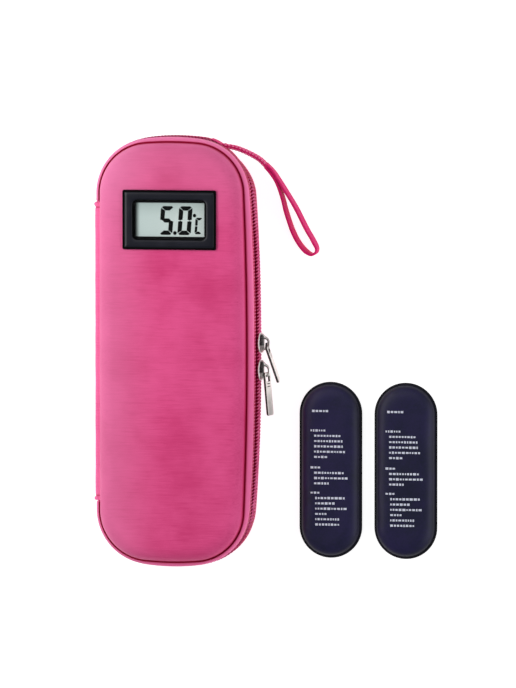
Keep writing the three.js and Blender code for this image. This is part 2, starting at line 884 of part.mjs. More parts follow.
// A slider with its pull, set on the zip at a place along it
function zipSlider(name, y, swing, droop, twist) {
  const colour = "#8d8f93";
  const group = new THREE.Group();
  group.position.set(coilFace, y, midZ);
  group.add(mesh(name + "_slider", sliderBody(), colour, 0.35, 0.9));
  const pull = new THREE.Group();
  pull.position.set(plateOuter + pullPivotDepth, -pullRest, 0);
  pull.rotation.set(droop, twist, swing, "ZXY");
  pull.add(mesh(name + "_pull", pullBody(), colour, 0.35, 0.9));
  group.add(pull);
  return group;
}

// A flat strap carried along a route, standing on its edge
function strapBody(route, thickness, steps) {
  const chamfer = thickness / 4;
  const x = strapWidth / 2;
  const y = thickness / 2;
  const section = polygon([
    [-x, -y + chamfer],
    [-x + chamfer, -y],
    [x - chamfer, -y],
    [x, -y + chamfer],
    [x, y - chamfer],
    [x - chamfer, y],
    [-x + chamfer, y],
    [-x, y - chamfer],
  ]);
  const points = route.map(([outX, outY, z]) => {
    return new THREE.Vector3(rightCorner.x + outX, rightCorner.y + outY, z);
  });
  const path = new THREE.CatmullRomCurve3(points, false, "centripetal");
  return new THREE.ExtrudeGeometry(section, { steps, extrudePath: path, bevelEnabled: false });
}

function tabSection() {
  const seat = coilReach + seatGap;
  const rimSeat = grooveHalfWidth + rimReach + seatGap;
  return [
    { ...rimSwell, out: rimSeat, height: tabBottom },
    { ...rimSwell, out: rimSeat, height: rimFoot },
    { ...zipSwell, out: seat, height: rimFoot },
    { ...zipSwell, out: seat, height: tabTop },
    { ...zipSwell, out: seat + tabThickness, height: tabTop },
    { ...zipSwell, out: seat + tabThickness, height: tabBottom },
  ];
}

// A gel pack: a long outline with round ends, its edge rounded between two flat faces
function gelPack() {
  const radius = packWidth / 2;
  const reach = packLength / 2 - radius;
  const samples = [
    ...arc({ x: 0, y: reach }, radius, 0, Math.PI, 2 * cornerSteps),
    ...arc({ x: 0, y: -reach }, radius, Math.PI, 2 * Math.PI, 2 * cornerSteps),
  ].map((sample) => ({ ...sample, side: 0, end: 0, tuck: 0 }));
  const edge = Array.from({ length: 2 * sectionSteps + 1 }, (unused, step) => {
    const angle = quarterTurn - (Math.PI * step) / (2 * sectionSteps);
    const out = packEdge * (Math.cos(angle) - 1);
    return { out, height: (packThickness / 2) * Math.sin(angle) };
  });
  return shellBody(samples, edge, 1).translate(0, 0, packThickness / 2 - midZ);
}

function addHalf(group, prefix, side, parts) {
  const pink = "#dc5587";
  const cloth = "#3a3436";
  group.add(mesh(prefix + "_shell", parts.shell, pink, 0.8));
  group.add(mesh(prefix + "_insulation", parts.insulation, "#e8e6e2", 0.9));
  group.add(mesh(prefix + "_lining", parts.lining, cloth, 0.9));
  group.add(mesh(prefix + "_zip_tape", stripBody(zipTrack, tapeSection(), side), pink, 0.8));
  group.add(mesh(prefix + "_zip_teeth", stripBody(zipTrack, coilSection(), side), pink, 0.5));
  group.add(mesh("spine_" + prefix, stripBody(spineTrack, spineSection(), side), pink, 0.8));
}

const insulinCoolingCase = new THREE.Group();
const backHalf = new THREE.Group();
const cover = new THREE.Group();
const gelPacks = new THREE.Group();
insulinCoolingCase.add(backHalf, cover, gelPacks);

addHalf(backHalf, "back", -1, {
  shell: shellBody(outline, halfRings(), -1),
  insulation: shellBody(outline, insulationRings(), -1),
  lining: shellBody(outline, liningRings(), -1),
});
backHalf.add(mesh("pen_loops_upper", penLoops(1), "#2c2c30", 0.9));
backHalf.add(mesh("pen_loops_lower", penLoops(-1), "#2c2c30", 0.9));
backHalf.add(mesh("strap_anchor", stripBody(tabTrack, tabSection(), -1), "#a03058", 0.85));
const strapRoot = strapBody(strapRootRoute, strapRootThickness, strapRootSteps);
backHalf.add(mesh("strap_root", strapRoot, "#c04070", 0.85));
const strapLoop = strapBody(strapLoopRoute, strapThickness, strapLoopSteps);
backHalf.add(mesh("wrist_strap", strapLoop, "#b03060", 0.85));

addHalf(cover, "front", 1, {
  shell: cut(shellBody(outline, halfRings(), 1), [moduleCut(0)]),
  insulation: cut(shellBody(outline, insulationRings(), 1), [moduleCut(clipReach + seatGap)]),
  lining: cut(shellBody(outline, liningRings(), 1), [moduleCut(0)]),
});
cover.add(mesh("mesh_pocket", meshPocket(), "#4a4548", 0.9));
cover.add(mesh("pocket_binding", pocketBinding(), "#2c2c30", 0.9));
cover.add(mesh("display_bezel", bezel(), "#1e2028", 0.3));
const glass = modulePlate(fitWidth, fitHeight, windowCorner, glassTop - glassThickness, glassTop);
cover.add(mesh("display_window", glass, "#dfe6e8", 0.05));
const panel = modulePlate(
  fitWidth - 2 * panelInset,
  fitHeight - 2 * panelInset,
  windowCorner,
  panelTop - panelThickness,
  panelTop,
);
cover.add(mesh("lcd_panel", panel, "#b2c2c0", 0.2));
const connectorMiddle = moduleY - fitHeight / 2 + connectorInset;
const connectorHalf = fitWidth / 2 - connectorInset;
const connector = bar(
  [moduleX - connectorHalf, connectorMiddle - connectorWidth / 2, connectorTop - connectorHeight],
  [moduleX + connectorHalf, connectorMiddle + connectorWidth / 2, connectorTop],
);
cover.add(mesh("elastomer_connector", connector, "#5a5a60", 0.7));
cover.add(mesh("circuit_board", circuitBoard(), "#1d5a35", 0.5));
cover.add(mesh("module_housing", housing(), "#24262c", 0.5));
cover.add(mesh("retaining_clip_left", clip(-1), "#24262c", 0.5));
cover.add(mesh("retaining_clip_right", clip(1), "#24262c", 0.5));
cover.add(mesh("battery_cell_left", cell(-1), "#b8babd", 0.3, 0.9));
cover.add(mesh("battery_cell_right", cell(1), "#b8babd", 0.3, 0.9));
cover.add(mesh("probe_gland", gland(), "#24262c", 0.6));
cover.add(mesh("battery_door", batteryDoor(), "#24262c", 0.5));

backHalf.add(zipSlider("upper", upperSliderY, upperPullSwing, upperPullDroop, 0));
backHalf.add(zipSlider("lower", lowerSliderY, lowerPullSwing, 0, lowerPullTwist));

["left", "right"].forEach((name, index) => {
  const pack = mesh("gel_pack_" + name, gelPack(), "#23233f", 0.35);
  pack.position.set(packX + index * packPitch, packY, 0);
  gelPacks.add(pack);
});

export default insulinCoolingCase;
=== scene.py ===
import math

import bpy
import numpy as np
from mathutils import Matrix, Vector


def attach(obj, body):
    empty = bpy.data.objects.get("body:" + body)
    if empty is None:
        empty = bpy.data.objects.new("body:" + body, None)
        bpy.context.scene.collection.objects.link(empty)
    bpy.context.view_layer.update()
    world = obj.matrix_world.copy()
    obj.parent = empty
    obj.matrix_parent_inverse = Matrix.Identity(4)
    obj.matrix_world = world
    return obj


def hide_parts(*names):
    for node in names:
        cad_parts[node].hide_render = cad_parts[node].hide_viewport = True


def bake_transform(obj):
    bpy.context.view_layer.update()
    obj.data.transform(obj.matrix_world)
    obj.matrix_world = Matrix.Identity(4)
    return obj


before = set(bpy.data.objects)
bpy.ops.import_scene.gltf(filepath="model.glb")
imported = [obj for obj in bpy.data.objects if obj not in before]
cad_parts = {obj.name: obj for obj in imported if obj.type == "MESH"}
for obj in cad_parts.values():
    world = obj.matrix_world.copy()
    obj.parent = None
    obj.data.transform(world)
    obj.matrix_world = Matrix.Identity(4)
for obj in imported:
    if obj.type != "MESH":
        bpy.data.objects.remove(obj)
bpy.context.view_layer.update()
mm = 0.001  # sizes below are in millimetres, meshes in metres

# Camera, lights and floor

view = {
    "target": (40.8, 3.8, 18.8),
    "direction": (0.182, 0.070, 0.98),
    "lens": 450.0,
    "distance": 4206.0,
    "clip": (0.05, 20),
}
studio = {
    "floor": (196, 196, 198),
    "floorGlow": 0.84,
    "surround": 0.26,
    "key": {"place": (-240, 80, 290), "size": (480, 170), "power": 1.08, "colour": (1.0, 0.985, 0.97)},
    "fill": {"place": (480, -100, 240), "size": (480, 300), "power": 1.05, "colour": (0.97, 0.985, 1.0)},
    "top": {"place": (60, 420, 760), "size": (520, 520), "power": 1.0, "colour": (1.0, 1.0, 1.0)},
}


def addObject(name, data):
    made = bpy.data.objects.new(name, data)
    bpy.context.scene.collection.objects.link(made)
    return made


def makeCamera():
    data = bpy.data.cameras.new("photoCamera")
    data.lens = view["lens"]
    data.clip_start, data.clip_end = view["clip"]
    camera = addObject("photoCamera", data)
    back = Vector(view["direction"]).normalized()
    right = Vector((0, 1, 0)).cross(back).normalized()
    turn = Matrix((right, back.cross(right), back)).transposed()
    place = Vector(view["target"]) + back * view["distance"]
    camera.matrix_world = Matrix.Translation(place * mm) @ turn.to_4x4()
    bpy.context.scene.camera = camera


def makeLights():
    for name in ("key", "fill", "top"):
        lamp = studio[name]
        data = bpy.data.lights.new(name + "Softbox", "AREA")
        data.shape = "RECTANGLE"
        data.size, data.size_y = (side * mm for side in lamp["size"])
        data.energy, data.color = lamp["power"], lamp["colour"]
        softbox = addObject(name + "Softbox", data)
        softbox.location = Vector(lamp["place"]) * mm
        aim = Vector(view["target"]) * mm - softbox.location
        softbox.rotation_mode = "QUATERNION"
        softbox.rotation_quaternion = aim.to_track_quat("-Z", "Y")
    world = bpy.data.worlds.new("paleRoom")
    world.use_nodes = True
    surround = world.node_tree.nodes["Background"]
    surround.inputs["Color"].default_value = (1.0, 1.0, 1.0, 1.0)
    surround.inputs["Strength"].default_value = studio["surround"]
    bpy.context.scene.world = world
    bpy.context.scene.view_settings.view_transform = "Standard"


makeCamera()
makeLights()
print("stage: camera and lights are set")

# Materials: sockets with arithmetic, and one method for every other node


def tint(red, green, blue):
    # a screen colour turned into the linear one that shaders use
    shares = np.array([red, green, blue]) / 255
    linear = np.where(shares < 0.04045, shares / 12.92, ((shares + 0.055) / 1.055) ** 2.4)
    return (*linear.tolist(), 1.0)


class Wire:
    # a socket's output; sums and products of it add their Math nodes
    def __init__(self, finish, socket):
        self.finish, self.socket = finish, socket

    def math(self, operation, *values):
        return self.finish.node("ShaderNodeMath", {"operation": operation}, dict(enumerate(values)))

    def __add__(self, other):
        return self.math("ADD", self, other)

    def __rsub__(self, other):
        return self.math("SUBTRACT", other, self)

    def __mul__(self, other):
        return self.math("MULTIPLY", self, other)

    __radd__ = __add__
    __rmul__ = __mul__

    def sine(self):
        return self.math("SINE", self)

    def held(self):
        # kept between nothing and one
        return self.finish.node("ShaderNodeClamp", {}, {"Value": self})

    def above(self, low, high):
        # nothing below low, one above high, smooth between them
        sockets = {"Value": self, "From Min": low, "From Max": high}
        return self.finish.node("ShaderNodeMapRange", {"interpolation_type": "SMOOTHSTEP"}, sockets)


class Finish:
    # one material; constants are set on the shader's own sockets by name
    def __init__(self, name, constants):
        self.material = bpy.data.materials.new(name)
        self.material.use_nodes = True
        self.tree = self.material.node_tree
        self.shader = self.tree.nodes["Principled BSDF"]
        for socket, value in constants.items():
            self.put(self.shader.inputs[socket], value)

    def put(self, socket, value):
        if isinstance(value, Wire):
            self.tree.links.new(value.socket, socket)
        else:
            socket.default_value = value

    def node(self, kind, settings, sockets, out=0):
        made = self.tree.nodes.new(kind)
        for key, value in settings.items():
            setattr(made, key, value)
        for key, value in sockets.items():
            self.put(made.inputs[key], value)
        return Wire(self, made.outputs[out])

    def place(self):
        return self.node("ShaderNodeTexCoord", {}, {}, "Object")

    def follow(self):
        # the piece's own UV map: along it and across it, in metres
        return self.node("ShaderNodeTexCoord", {}, {}, "UV")

    def mark(self, name):
        return self.node("ShaderNodeAttribute", {"attribute_name": name}, {}, "Fac")

    def axis(self, vector, letter):
        return self.node("ShaderNodeSeparateXYZ", {}, {"Vector": vector}, letter)

    def noise(self, vector, scale, detail=2.0, rough=0.5, stretch=(1, 1, 1)):
        pulled = self.node("ShaderNodeMapping", {}, {"Vector": vector, "Scale": stretch})
        sockets = {"Vector": pulled, "Scale": scale, "Detail": detail, "Roughness": rough}
        return self.node("ShaderNodeTexNoise", {}, sockets)

    def blend(self, share, first, second):
        return self.node("ShaderNodeMix", {"data_type": "RGBA"}, {0: share, 6: first, 7: second}, 2)

    def relief(self, height, depth, strength):
        # bumps the shader's normal; depth is in metres
        sockets = {"Height": height, "Distance": depth, "Strength": strength}
        self.put(self.shader.inputs["Normal"], self.node("ShaderNodeBump", {}, sockets))

    def wear(self, colour=None, rough=None):
        if colour is not None:
            self.put(self.shader.inputs["Base Color"], colour)
        if rough is not None:
            self.put(self.shader.inputs["Roughness"], rough)


def weave(finish, vector, pitch):
    # plain weave: two ribbed waves, each raised where the other one passes under it
    first, second = (finish.axis(vector, letter) * (2 * math.pi / pitch) for letter in "XY")
    ribs = (first * 2).sine() * 0.5 + (second * 2).sine() * 0.5
    return first.sine() * second.sine() * 0.6 + ribs * 0.25 + 0.5


shellFabricLook = {
    "light": (230, 88, 145),
    "deep": (203, 56, 112),
    # dark crimson of the seam, also the painted shade in the groove and on the wall under the rim
    "seam": (176, 0, 56),
    # the rim's lighter pink: a lighter piping, and partly a painted highlight for the light the rim
    # catches
    "rim": (250, 120, 174),
    "paintedHighlight": (232, 142, 186),
    "threadStretch": (110.0, 1500.0, 1500.0),
    "slubStretch": (80.0, 800.0, 800.0),
    "blotchScale": 38.0,
    "grainScale": 2800.0,
    # painted highlight towards the left and towards the top: where it starts and ends, in metres, and
    # its share
    "highlightLeft": (0.0, 0.042, 0.45),
    "highlightTop": (0.05, 0.11, 0.34),
}
pinkNap = {
    "Sheen Weight": 0.1,
    "Sheen Roughness": 0.5,
    "Sheen Tint": tint(255, 120, 170),
    "Specular IOR Level": 0.25,
    "Specular Tint": tint(255, 150, 190),
}


def shellFabric():
    # fine threads run across the case, with a few slubs; slow blotches where it was moulded
    look = shellFabricLook
    finish = Finish("shellFabric", pinkNap)
    place = finish.place()
    threads = finish.noise(place, 1.0, 2.5, 0.6, look["threadStretch"])
    slubs = finish.noise(place, 1.0, 1.0, 0.5, look["slubStretch"])
    blotch = finish.noise(place, look["blotchScale"], 3.0, 0.55)
    grain = finish.noise(place, look["grainScale"], 1.5, 0.6)
    shade = threads * 0.2 + slubs.above(0.5, 0.85) * 0.07 + blotch * 0.56 + grain * 0.12
    colour = finish.blend(shade.above(0.24, 0.68), tint(*look["light"]), tint(*look["deep"]))
    # painted highlight: the cloth is painted paler towards the left and the top, where the light falls;
    # from where to where, in metres, and by a share
    (low, high, left), (foot, top, share) = look["highlightLeft"], look["highlightTop"]
    paintedHighlight = (0 - finish.axis(place, "X")).above(low, high) * left
    paintedHighlight = paintedHighlight + finish.axis(place, "Y").above(foot, top) * share
    # the rim is painted lighter: a lighter piping, and partly a painted highlight
    colour = finish.blend(finish.mark("rim") * 0.8, colour, tint(*look["rim"]))
    colour = finish.blend(paintedHighlight.held(), colour, tint(*look["paintedHighlight"]))
    # painted shade in the groove, partly a dark seam, and on the wall under the rim
    colour = finish.blend(finish.mark("seam"), colour, tint(*look["seam"]))
    finish.wear(colour, threads * 0.16 + grain * 0.1 + 0.44)
    finish.relief(threads * 0.4 + slubs * 0.1 + grain * 0.5, 0.0001, 0.28)
    return finish


def spineFabric():
    # the same cloth along the spine, where its threads run along the strip
    look = shellFabricLook
    finish = Finish("spineFabric", pinkNap)
    flat = finish.follow()
    threads = finish.noise(flat, 1.0, 2.5, 0.6, (1300.0, 60.0, 1.0))
    blotch = finish.noise(flat, look["blotchScale"], 3.0)
    grain = finish.noise(flat, look["grainScale"], 1.5)
    shade = threads * 0.4 + blotch * 0.5
    colour = finish.blend(shade.above(0.3, 0.75), tint(*look["rim"]), tint(*look["light"]))
    # painted shadow in the creases behind the hems and faint painted shade along the strip's front edge,
    # from its seam mark
    colour = finish.blend(finish.mark("seam"), colour, tint(*look["seam"]))
    finish.wear(colour, threads * 0.2 + 0.42)
    finish.relief(threads * 0.5 + grain * 0.4, 0.00012, 0.45)
    return finish


def threadFinish():
    # twisted polyester of the coil
    finish = Finish("coilThread", {"Specular IOR Level": 0.14, "Specular Tint": tint(255, 150, 190)})
    place = finish.place()
    strand = finish.noise(place, 1400.0, 2.0, 0.6)
    tone = finish.noise(place, 160.0, 2.0)
    worn = (strand * 0.6 + tone * 0.5).above(0.3, 0.85)
    colour = finish.blend(worn, tint(248, 128, 176), tint(206, 58, 116))
    # darker along the two ends of the case, where it lies in the shade
    along = finish.axis(place, "Y")
    colour = finish.blend((along * along).above(0.0056, 0.0084) * 0.8, colour, tint(160, 14, 74))
    finish.wear(colour, strand * 0.2 + 0.62)
    finish.relief(strand, 0.0001, 0.5)
    return finish


def clothFinish(name, light, deep, pitch, rough, depth, follow=False):
    # woven cloth: the weave stands up, and its hollows are darker; its gloss has its own colour
    finish = Finish(name, {"Sheen Weight": 0.05, "Sheen Roughness": 0.5, "Sheen Tint": tint(*light),
                           "Specular IOR Level": 0.2, "Specular Tint": tint(*light)})
    place = finish.follow() if follow else finish.place()
    pattern = weave(finish, place, pitch)
    tone = finish.noise(place, 60.0, 3.0)
    fuzz = finish.noise(place, 2200.0, 2.0)
    shade = (pattern * 0.55 + tone * 0.4 + fuzz * 0.25).held()
    finish.wear(finish.blend(shade, tint(*deep), tint(*light)), fuzz * 0.2 + rough)
    finish.relief(pattern + fuzz * 0.4, depth, 0.7)
    return finish


def plasticFinish(name, colour, rough, grainScale=1800.0, depth=0.00003, gloss=0.5, coat=0.0):
    # moulded plastic: a fine spark-eroded grain, a few worn, shinier patches, and painted shade, black
    # and rougher, where its mark asks for it
    finish = Finish(name, {"Specular IOR Level": gloss, "Coat Weight": coat, "Coat Roughness": 0.12})
    place = finish.place()
    grain = finish.noise(place, grainScale, 2.0, 0.55)
    wear = finish.noise(place, 90.0, 3.0)
    worn = tuple(min(255, part + 7) for part in colour)
    # the painted shade's colour
    deep = tuple(part * 0.25 for part in colour)
    shade = finish.blend(wear.above(0.45, 0.75), tint(*colour), tint(*worn))
    shade = finish.blend(finish.mark("paintedShade"), shade, tint(*deep))
    finish.wear(shade, wear * 0.16 + finish.mark("paintedShade") * 0.35 + (rough - 0.06))
    finish.relief(grain, depth, 0.5)
    return finish


def metalFinish(name, bright, dull, rough, metal=1.0):
    # cast and plated zinc: tumbled waves, fine scratches, and painted shade, black, rough and not metal,
    # where its mark asks for it
    finish = Finish(name, {"Specular IOR Level": 0.3})
    place = finish.place()
    waves = finish.noise(place, 320.0, 2.0)
    scratch = finish.noise(place, 1.0, 2.0, 0.6, (3600.0, 260.0, 900.0))
    film = finish.noise(place, 150.0, 4.0, 0.65)
    speck = finish.noise(place, 1100.0, 2.0, 0.7)
    colour = finish.blend(film.above(0.42, 0.72), tint(*bright), tint(*dull))
    # painted shade, speckled
    shadeShare = (finish.mark("paintedShade") * (speck.above(0.38, 0.56) * 0.14 + 0.9)).held()
    colour = finish.blend(shadeShare, colour, tint(24, 20, 21))
    finish.put(finish.shader.inputs["Metallic"], (1 - shadeShare) * metal)
    finish.wear(colour, film * 0.22 + scratch * 0.1 + shadeShare * 0.35 + (rough - 0.12))
    finish.relief(waves * 0.8 + scratch * 0.25 + speck * shadeShare, 0.00012, 0.5)
    return finish


def clearFinish():
    # acrylic window: almost nothing of it shows but its gloss
    finish = Finish("windowPlastic", {"Base Color": tint(12, 15, 16), "Alpha": 0.07, "Coat Weight": 0.2})
    place = finish.place()
    smear = finish.noise(place, 70.0, 3.0)
    finish.wear(rough=smear * 0.08 + 0.02)
    return finish


def panelFinish():
    # liquid crystal behind its polariser: faint mottling, shaded along its left and upper edges
    finish = Finish("crystalPanel", {"Specular IOR Level": 0.25})
    place = finish.place()
    tone = finish.noise(place, 120.0, 2.0)
    across, along = finish.axis(place, "X"), finish.axis(place, "Y")
    colour = finish.blend(across.above(-0.014, 0.016), tint(218, 236, 233), tint(232, 246, 242))
    colour = finish.blend(tone.above(0.3, 0.9) * 0.25, colour, tint(204, 224, 221))
    colour = finish.blend(along.above(0.0655, 0.0742) * 0.45, colour, tint(160, 182, 179))
    colour = finish.blend((0 - across).above(0.0143, 0.0172), colour, tint(34, 44, 42))
    finish.wear(colour, tone * 0.1 + 0.25)
    return finish


def filmFinish():
    # laminated film of the gel packs: navy, blacker along its edge, softly creased
    finish = Finish("packFilm", {"Coat Weight": 0.05, "Coat Roughness": 0.3, "Specular IOR Level": 0.24})
    place = finish.place()
    tone = finish.noise(place, 38.0, 3.0, 0.6)
    speckle = finish.noise(place, 900.0, 2.0, 0.7)
    crease = finish.noise(place, 75.0, 2.0, 0.5, (1.0, 0.55, 1.0))
    mixed = (tone * 0.7 + speckle * 0.3).above(0.3, 0.7)
    colour = finish.blend(mixed, tint(15, 20, 42), tint(32, 26, 68))
    colour = finish.blend(finish.mark("edge"), colour, tint(7, 7, 9))
    finish.wear(colour, speckle * 0.2 + 0.4)
    finish.relief(crease * 0.8 + speckle * 0.1, 0.0005, 0.35)
    return finish


finishes = {
    "shell": shellFabric(),
    "spine": spineFabric(),
    "coil": threadFinish(),
    # painted shade: the tape and the coil's core are given the dark crimson of the shade seen between
    # the coil's loops
    "tape": clothFinish("tapeCloth", (168, 10, 66), (112, 0, 40), 0.0009, 0.7, 0.0001),
    "strap": clothFinish("strapWebbing", (240, 50, 128), (194, 10, 84), 0.0008, 0.5, 0.0001, True),
    "root": clothFinish("strapRootWebbing", (244, 62, 134), (198, 16, 88), 0.0008, 0.5, 0.0001, True),
    "stitch": clothFinish("stitchThread", (255, 178, 208), (238, 120, 166), 0.0006, 0.5, 0.00005),
    "lining": clothFinish("liningCloth", (78, 72, 76), (38, 34, 38), 0.0007, 0.7, 0.0001),
    "foam": clothFinish("foamSkin", (232, 230, 224), (196, 194, 188), 0.0016, 0.8, 0.0001),
    "elastic": clothFinish("elasticBand", (58, 58, 62), (26, 26, 29), 0.0011, 0.6, 0.0002, True),
    "net": clothFinish("netThread", (84, 80, 84), (44, 42, 46), 0.0004, 0.6, 0.00004),
    "bezel": plasticFinish("bezelPlastic", (13, 15, 27), 0.3, 1500.0, 0.00002, 0.3),
    "housing": plasticFinish("housingPlastic", (34, 35, 40), 0.5, 1300.0, 0.00005),
    "rubber": plasticFinish("connectorRubber", (86, 86, 92), 0.7, 900.0, 0.00004),
    "board": plasticFinish("boardMask", (24, 84, 50), 0.35, 700.0, 0.00002, 0.5, 0.4),
    "ink": plasticFinish("crystalInk", (2, 7, 6), 0.5, 900.0, 0.00001, 0.08),
    # the mask's black ink, also used as the bezel's painted shade
    "mask": plasticFinish("blackMaskAndPaintedShade", (5, 6, 8), 0.5, 900.0, 0.00001, 0.08),
    "print": plasticFinish("packPrint", (205, 210, 226), 0.5, 1200.0, 0.00001),
    "window": clearFinish(),
    "panel": panelFinish(),
    "film": filmFinish(),
    "slider": metalFinish("sliderMetal", (226, 222, 219), (168, 160, 158), 0.24),
    # painted highlight: the cap's front bead is near white and only partly metal
    "lip": metalFinish("sliderEdgePaintedHighlight", (252, 250, 248), (240, 237, 235), 0.3, 0.45),
    "pull": metalFinish("pullMetal", (240, 232, 227), (214, 206, 201), 0.36, 0.6),
    "cell": metalFinish("cellSteel", (196, 198, 200), (150, 152, 156), 0.3),
}
print("stage:", len(finishes), "materials are made")

# Meshes from grids


def shadeSmooth(mesh, turn):
    # smooth but for edges that turn by more
    mesh.polygons.foreach_set("use_smooth", np.ones(len(mesh.polygons), bool))
    mesh.set_sharp_from_angle(angle=math.radians(turn))


def addMesh(name, points, faces, finish, smoothTurn=40.0):
    mesh = bpy.data.meshes.new(name)
    mesh.from_pydata((np.asarray(points, float).reshape(-1, 3) * mm).tolist(), [], faces)
    shadeSmooth(mesh, smoothTurn)
    mesh.materials.append(finishes[finish].material)
    return addObject(name, mesh)


def faceOut(piece, merge=0.0):
    # a closed shape's faces turned outwards, after its doubled points are merged
    bpy.context.view_layer.objects.active = piece
    piece.select_set(True)
    bpy.ops.object.mode_set(mode="EDIT")
    bpy.ops.mesh.select_all(action="SELECT")
    if merge:
        bpy.ops.mesh.remove_doubles(threshold=merge * mm)
    bpy.ops.mesh.normals_make_consistent(inside=False)
    bpy.ops.object.mode_set(mode="OBJECT")
    piece.select_set(False)
    return piece


def setMark(piece, name, values):
    # a number at each point, which materials read
    mark = piece.data.attributes.new(name, "FLOAT", "POINT")
    mark.data.foreach_set("value", np.asarray(values, np.float32).ravel())


def gridQuads(rows, columns, roundRows=False, roundColumns=False):
    # the quads between neighbouring rows and columns, closed where a direction is round
    at = np.arange(rows * columns).reshape(rows, columns)
    if roundRows:
        at = np.vstack([at, at[:1]])
    if roundColumns:
        at = np.hstack([at, at[:, :1]])
    return fourCorners(at, -1).reshape(-1, 4)


def fourCorners(grid, axis):
    # each square of a grid as its four corners
    return np.stack([grid[:-1, :-1], grid[1:, :-1], grid[1:, 1:], grid[:-1, 1:]], axis)


def ringMesh(name, rings, finish, smoothTurn):
    # a grid that closes in both directions
    return addMesh(name, rings, gridQuads(*rings.shape[:2], True, True).tolist(), finish, smoothTurn)


def setFlat(piece, along, across):
    # UVs of a tube's quads: length along it and round it, in metres; the ends' stay at nothing
    grid = np.stack(np.meshgrid(along, across, indexing="ij"), -1) * mm
    filled = fourCorners(grid, -2).reshape(-1, 2)
    flat = np.zeros((len(piece.data.loops), 2), np.float32)
    flat[: len(filled)] = filled
    piece.data.uv_layers.new(name="UVMap").data.foreach_set("uv", flat.ravel())


def runLength(points):
    # length along a row of points, from nothing at the first
    steps = np.linalg.norm(np.diff(points, axis=0), axis=1)
    return np.concatenate([[0.0], np.cumsum(steps)])


def sampled(rows, length, places):
    # every column of rows read off at places along the length
    return np.stack([np.interp(places, length, column) for column in rows.T], 1)


def unit(vectors):
    return vectors / np.linalg.norm(vectors, axis=-1, keepdims=True)


def around(count):
    # evenly spaced angles once round
    return np.linspace(0, 2 * math.pi, count + 1)[:-1]


def lifted(flat, level):
    # flat points set at a level
    return np.concatenate([flat, np.broadcast_to(level, (*flat.shape[:-1], 1))], -1)


def endCaps(rings, sides):
    # the point numbers round a tube's first ring, turned, and round its last
    ends = np.arange(rings * sides).reshape(rings, sides)
    return np.stack([ends[0, ::-1], ends[-1]])


def tubeGrid(name, grid, finish, smoothTurn=40.0):
    # a closed section carried along a path: rows along it, columns round it, flat ends
    rows, columns = grid.shape[:2]
    faces = gridQuads(rows, columns, roundColumns=True).tolist() + endCaps(rows, columns).tolist()
    piece = addMesh(name, grid, faces, finish, smoothTurn)
    setFlat(piece, runLength(grid.mean(axis=1)), runLength(np.vstack([grid[0], grid[:1, 0]])))
    return faceOut(piece)


def tubeFaces(shape):
    # quads and end caps of many short tubes whose points lie in a (tube, ring, side) array
    count, rings, sides = shape[:3]
    shift = (np.arange(count) * rings * sides)[:, None, None]
    quads = gridQuads(rings, sides, roundColumns=True)[None] + shift
    caps = endCaps(rings, sides)[None] + shift
    return quads.reshape(-1, 4).tolist() + caps.reshape(-1, sides).tolist()


def joinPieces(name, pieces):
    # several closed shapes as one object
    bpy.ops.object.select_all(action="DESELECT")
    for piece in pieces:
        piece.select_set(True)
    bpy.context.view_layer.objects.active = pieces[0]
    bpy.ops.object.join()
    pieces[0].name = name
    pieces[0].data.name = name
    pieces[0].select_set(False)
    return pieces[0]


def dress(piece, body, slot, *nodes):
    # rides on its body and stands for the frame's nodes; its slot is not used
    if body:
        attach(piece, body)
    if nodes:
        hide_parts(*nodes)
    return piece


# Outline of the case and the sections carried round it

caseForm = {
    "halfWidth": 35.9,
    "halfLength": 102.9,
    "corner": 25.0,
    "endRadius": 157.0,
    "bow": 1.6,
    "seam": 18.8,
    "restEnd": 73.3,
    "rampEnd": 74.1,
    "zipEnd": 74.4,
    "cornerCount": 34,
    "endCount": 40,
    "sideCount": 110,
    # how far along the side and the end their swells reach
    "sideFade": 85,
    "endFade": 16,
    # how far the zip and the back half draw in at places along the case, and its share across it
    "drawnAlong": ((78, 84.4, 89.3, 94, 98), (0, 0.7, 1.55, 2.15, 2.0)),
    "drawnAcross": ((14, 19, 24, 30), (0, 0.25, 0.75, 1)),
}


def arcRow(centre, radius, start, stop, count):
    # centre plus radius times the direction, which turns evenly from start to stop
    turn = np.linspace(start, stop, count)
    out = np.stack([np.cos(turn), np.sin(turn)], 1)
    return np.hstack([np.array(centre) + radius * out, out])


def caseCorners():
    # middles of the right and left upper corners, which touch the side and the end
    form = caseForm
    chord = form["halfLength"] - form["corner"]
    sideRadius = (chord**2 + form["bow"] ** 2) / (2 * form["bow"])
    sideMiddle = form["halfWidth"] + form["bow"] - sideRadius
    endMiddle = form["halfLength"] - form["endRadius"]
    toSide = sideRadius - form["corner"]
    toEnd = form["endRadius"] - form["corner"]
    apart = math.hypot(sideMiddle, endMiddle)
    along = (toSide**2 - toEnd**2 + apart**2) / (2 * apart)
    across = math.sqrt(toSide**2 - along**2)
    ux, uy = -sideMiddle / apart, endMiddle / apart
    right = (sideMiddle + ux * along - uy * across, uy * along + ux * across)
    leftX = form["corner"] - form["halfWidth"]
    left = (leftX, endMiddle + math.sqrt(toEnd**2 - leftX**2))
    return right, left, sideRadius, sideMiddle, endMiddle


rightCorner, leftCorner, sideRadius, sideMiddle, endMiddle = caseCorners()


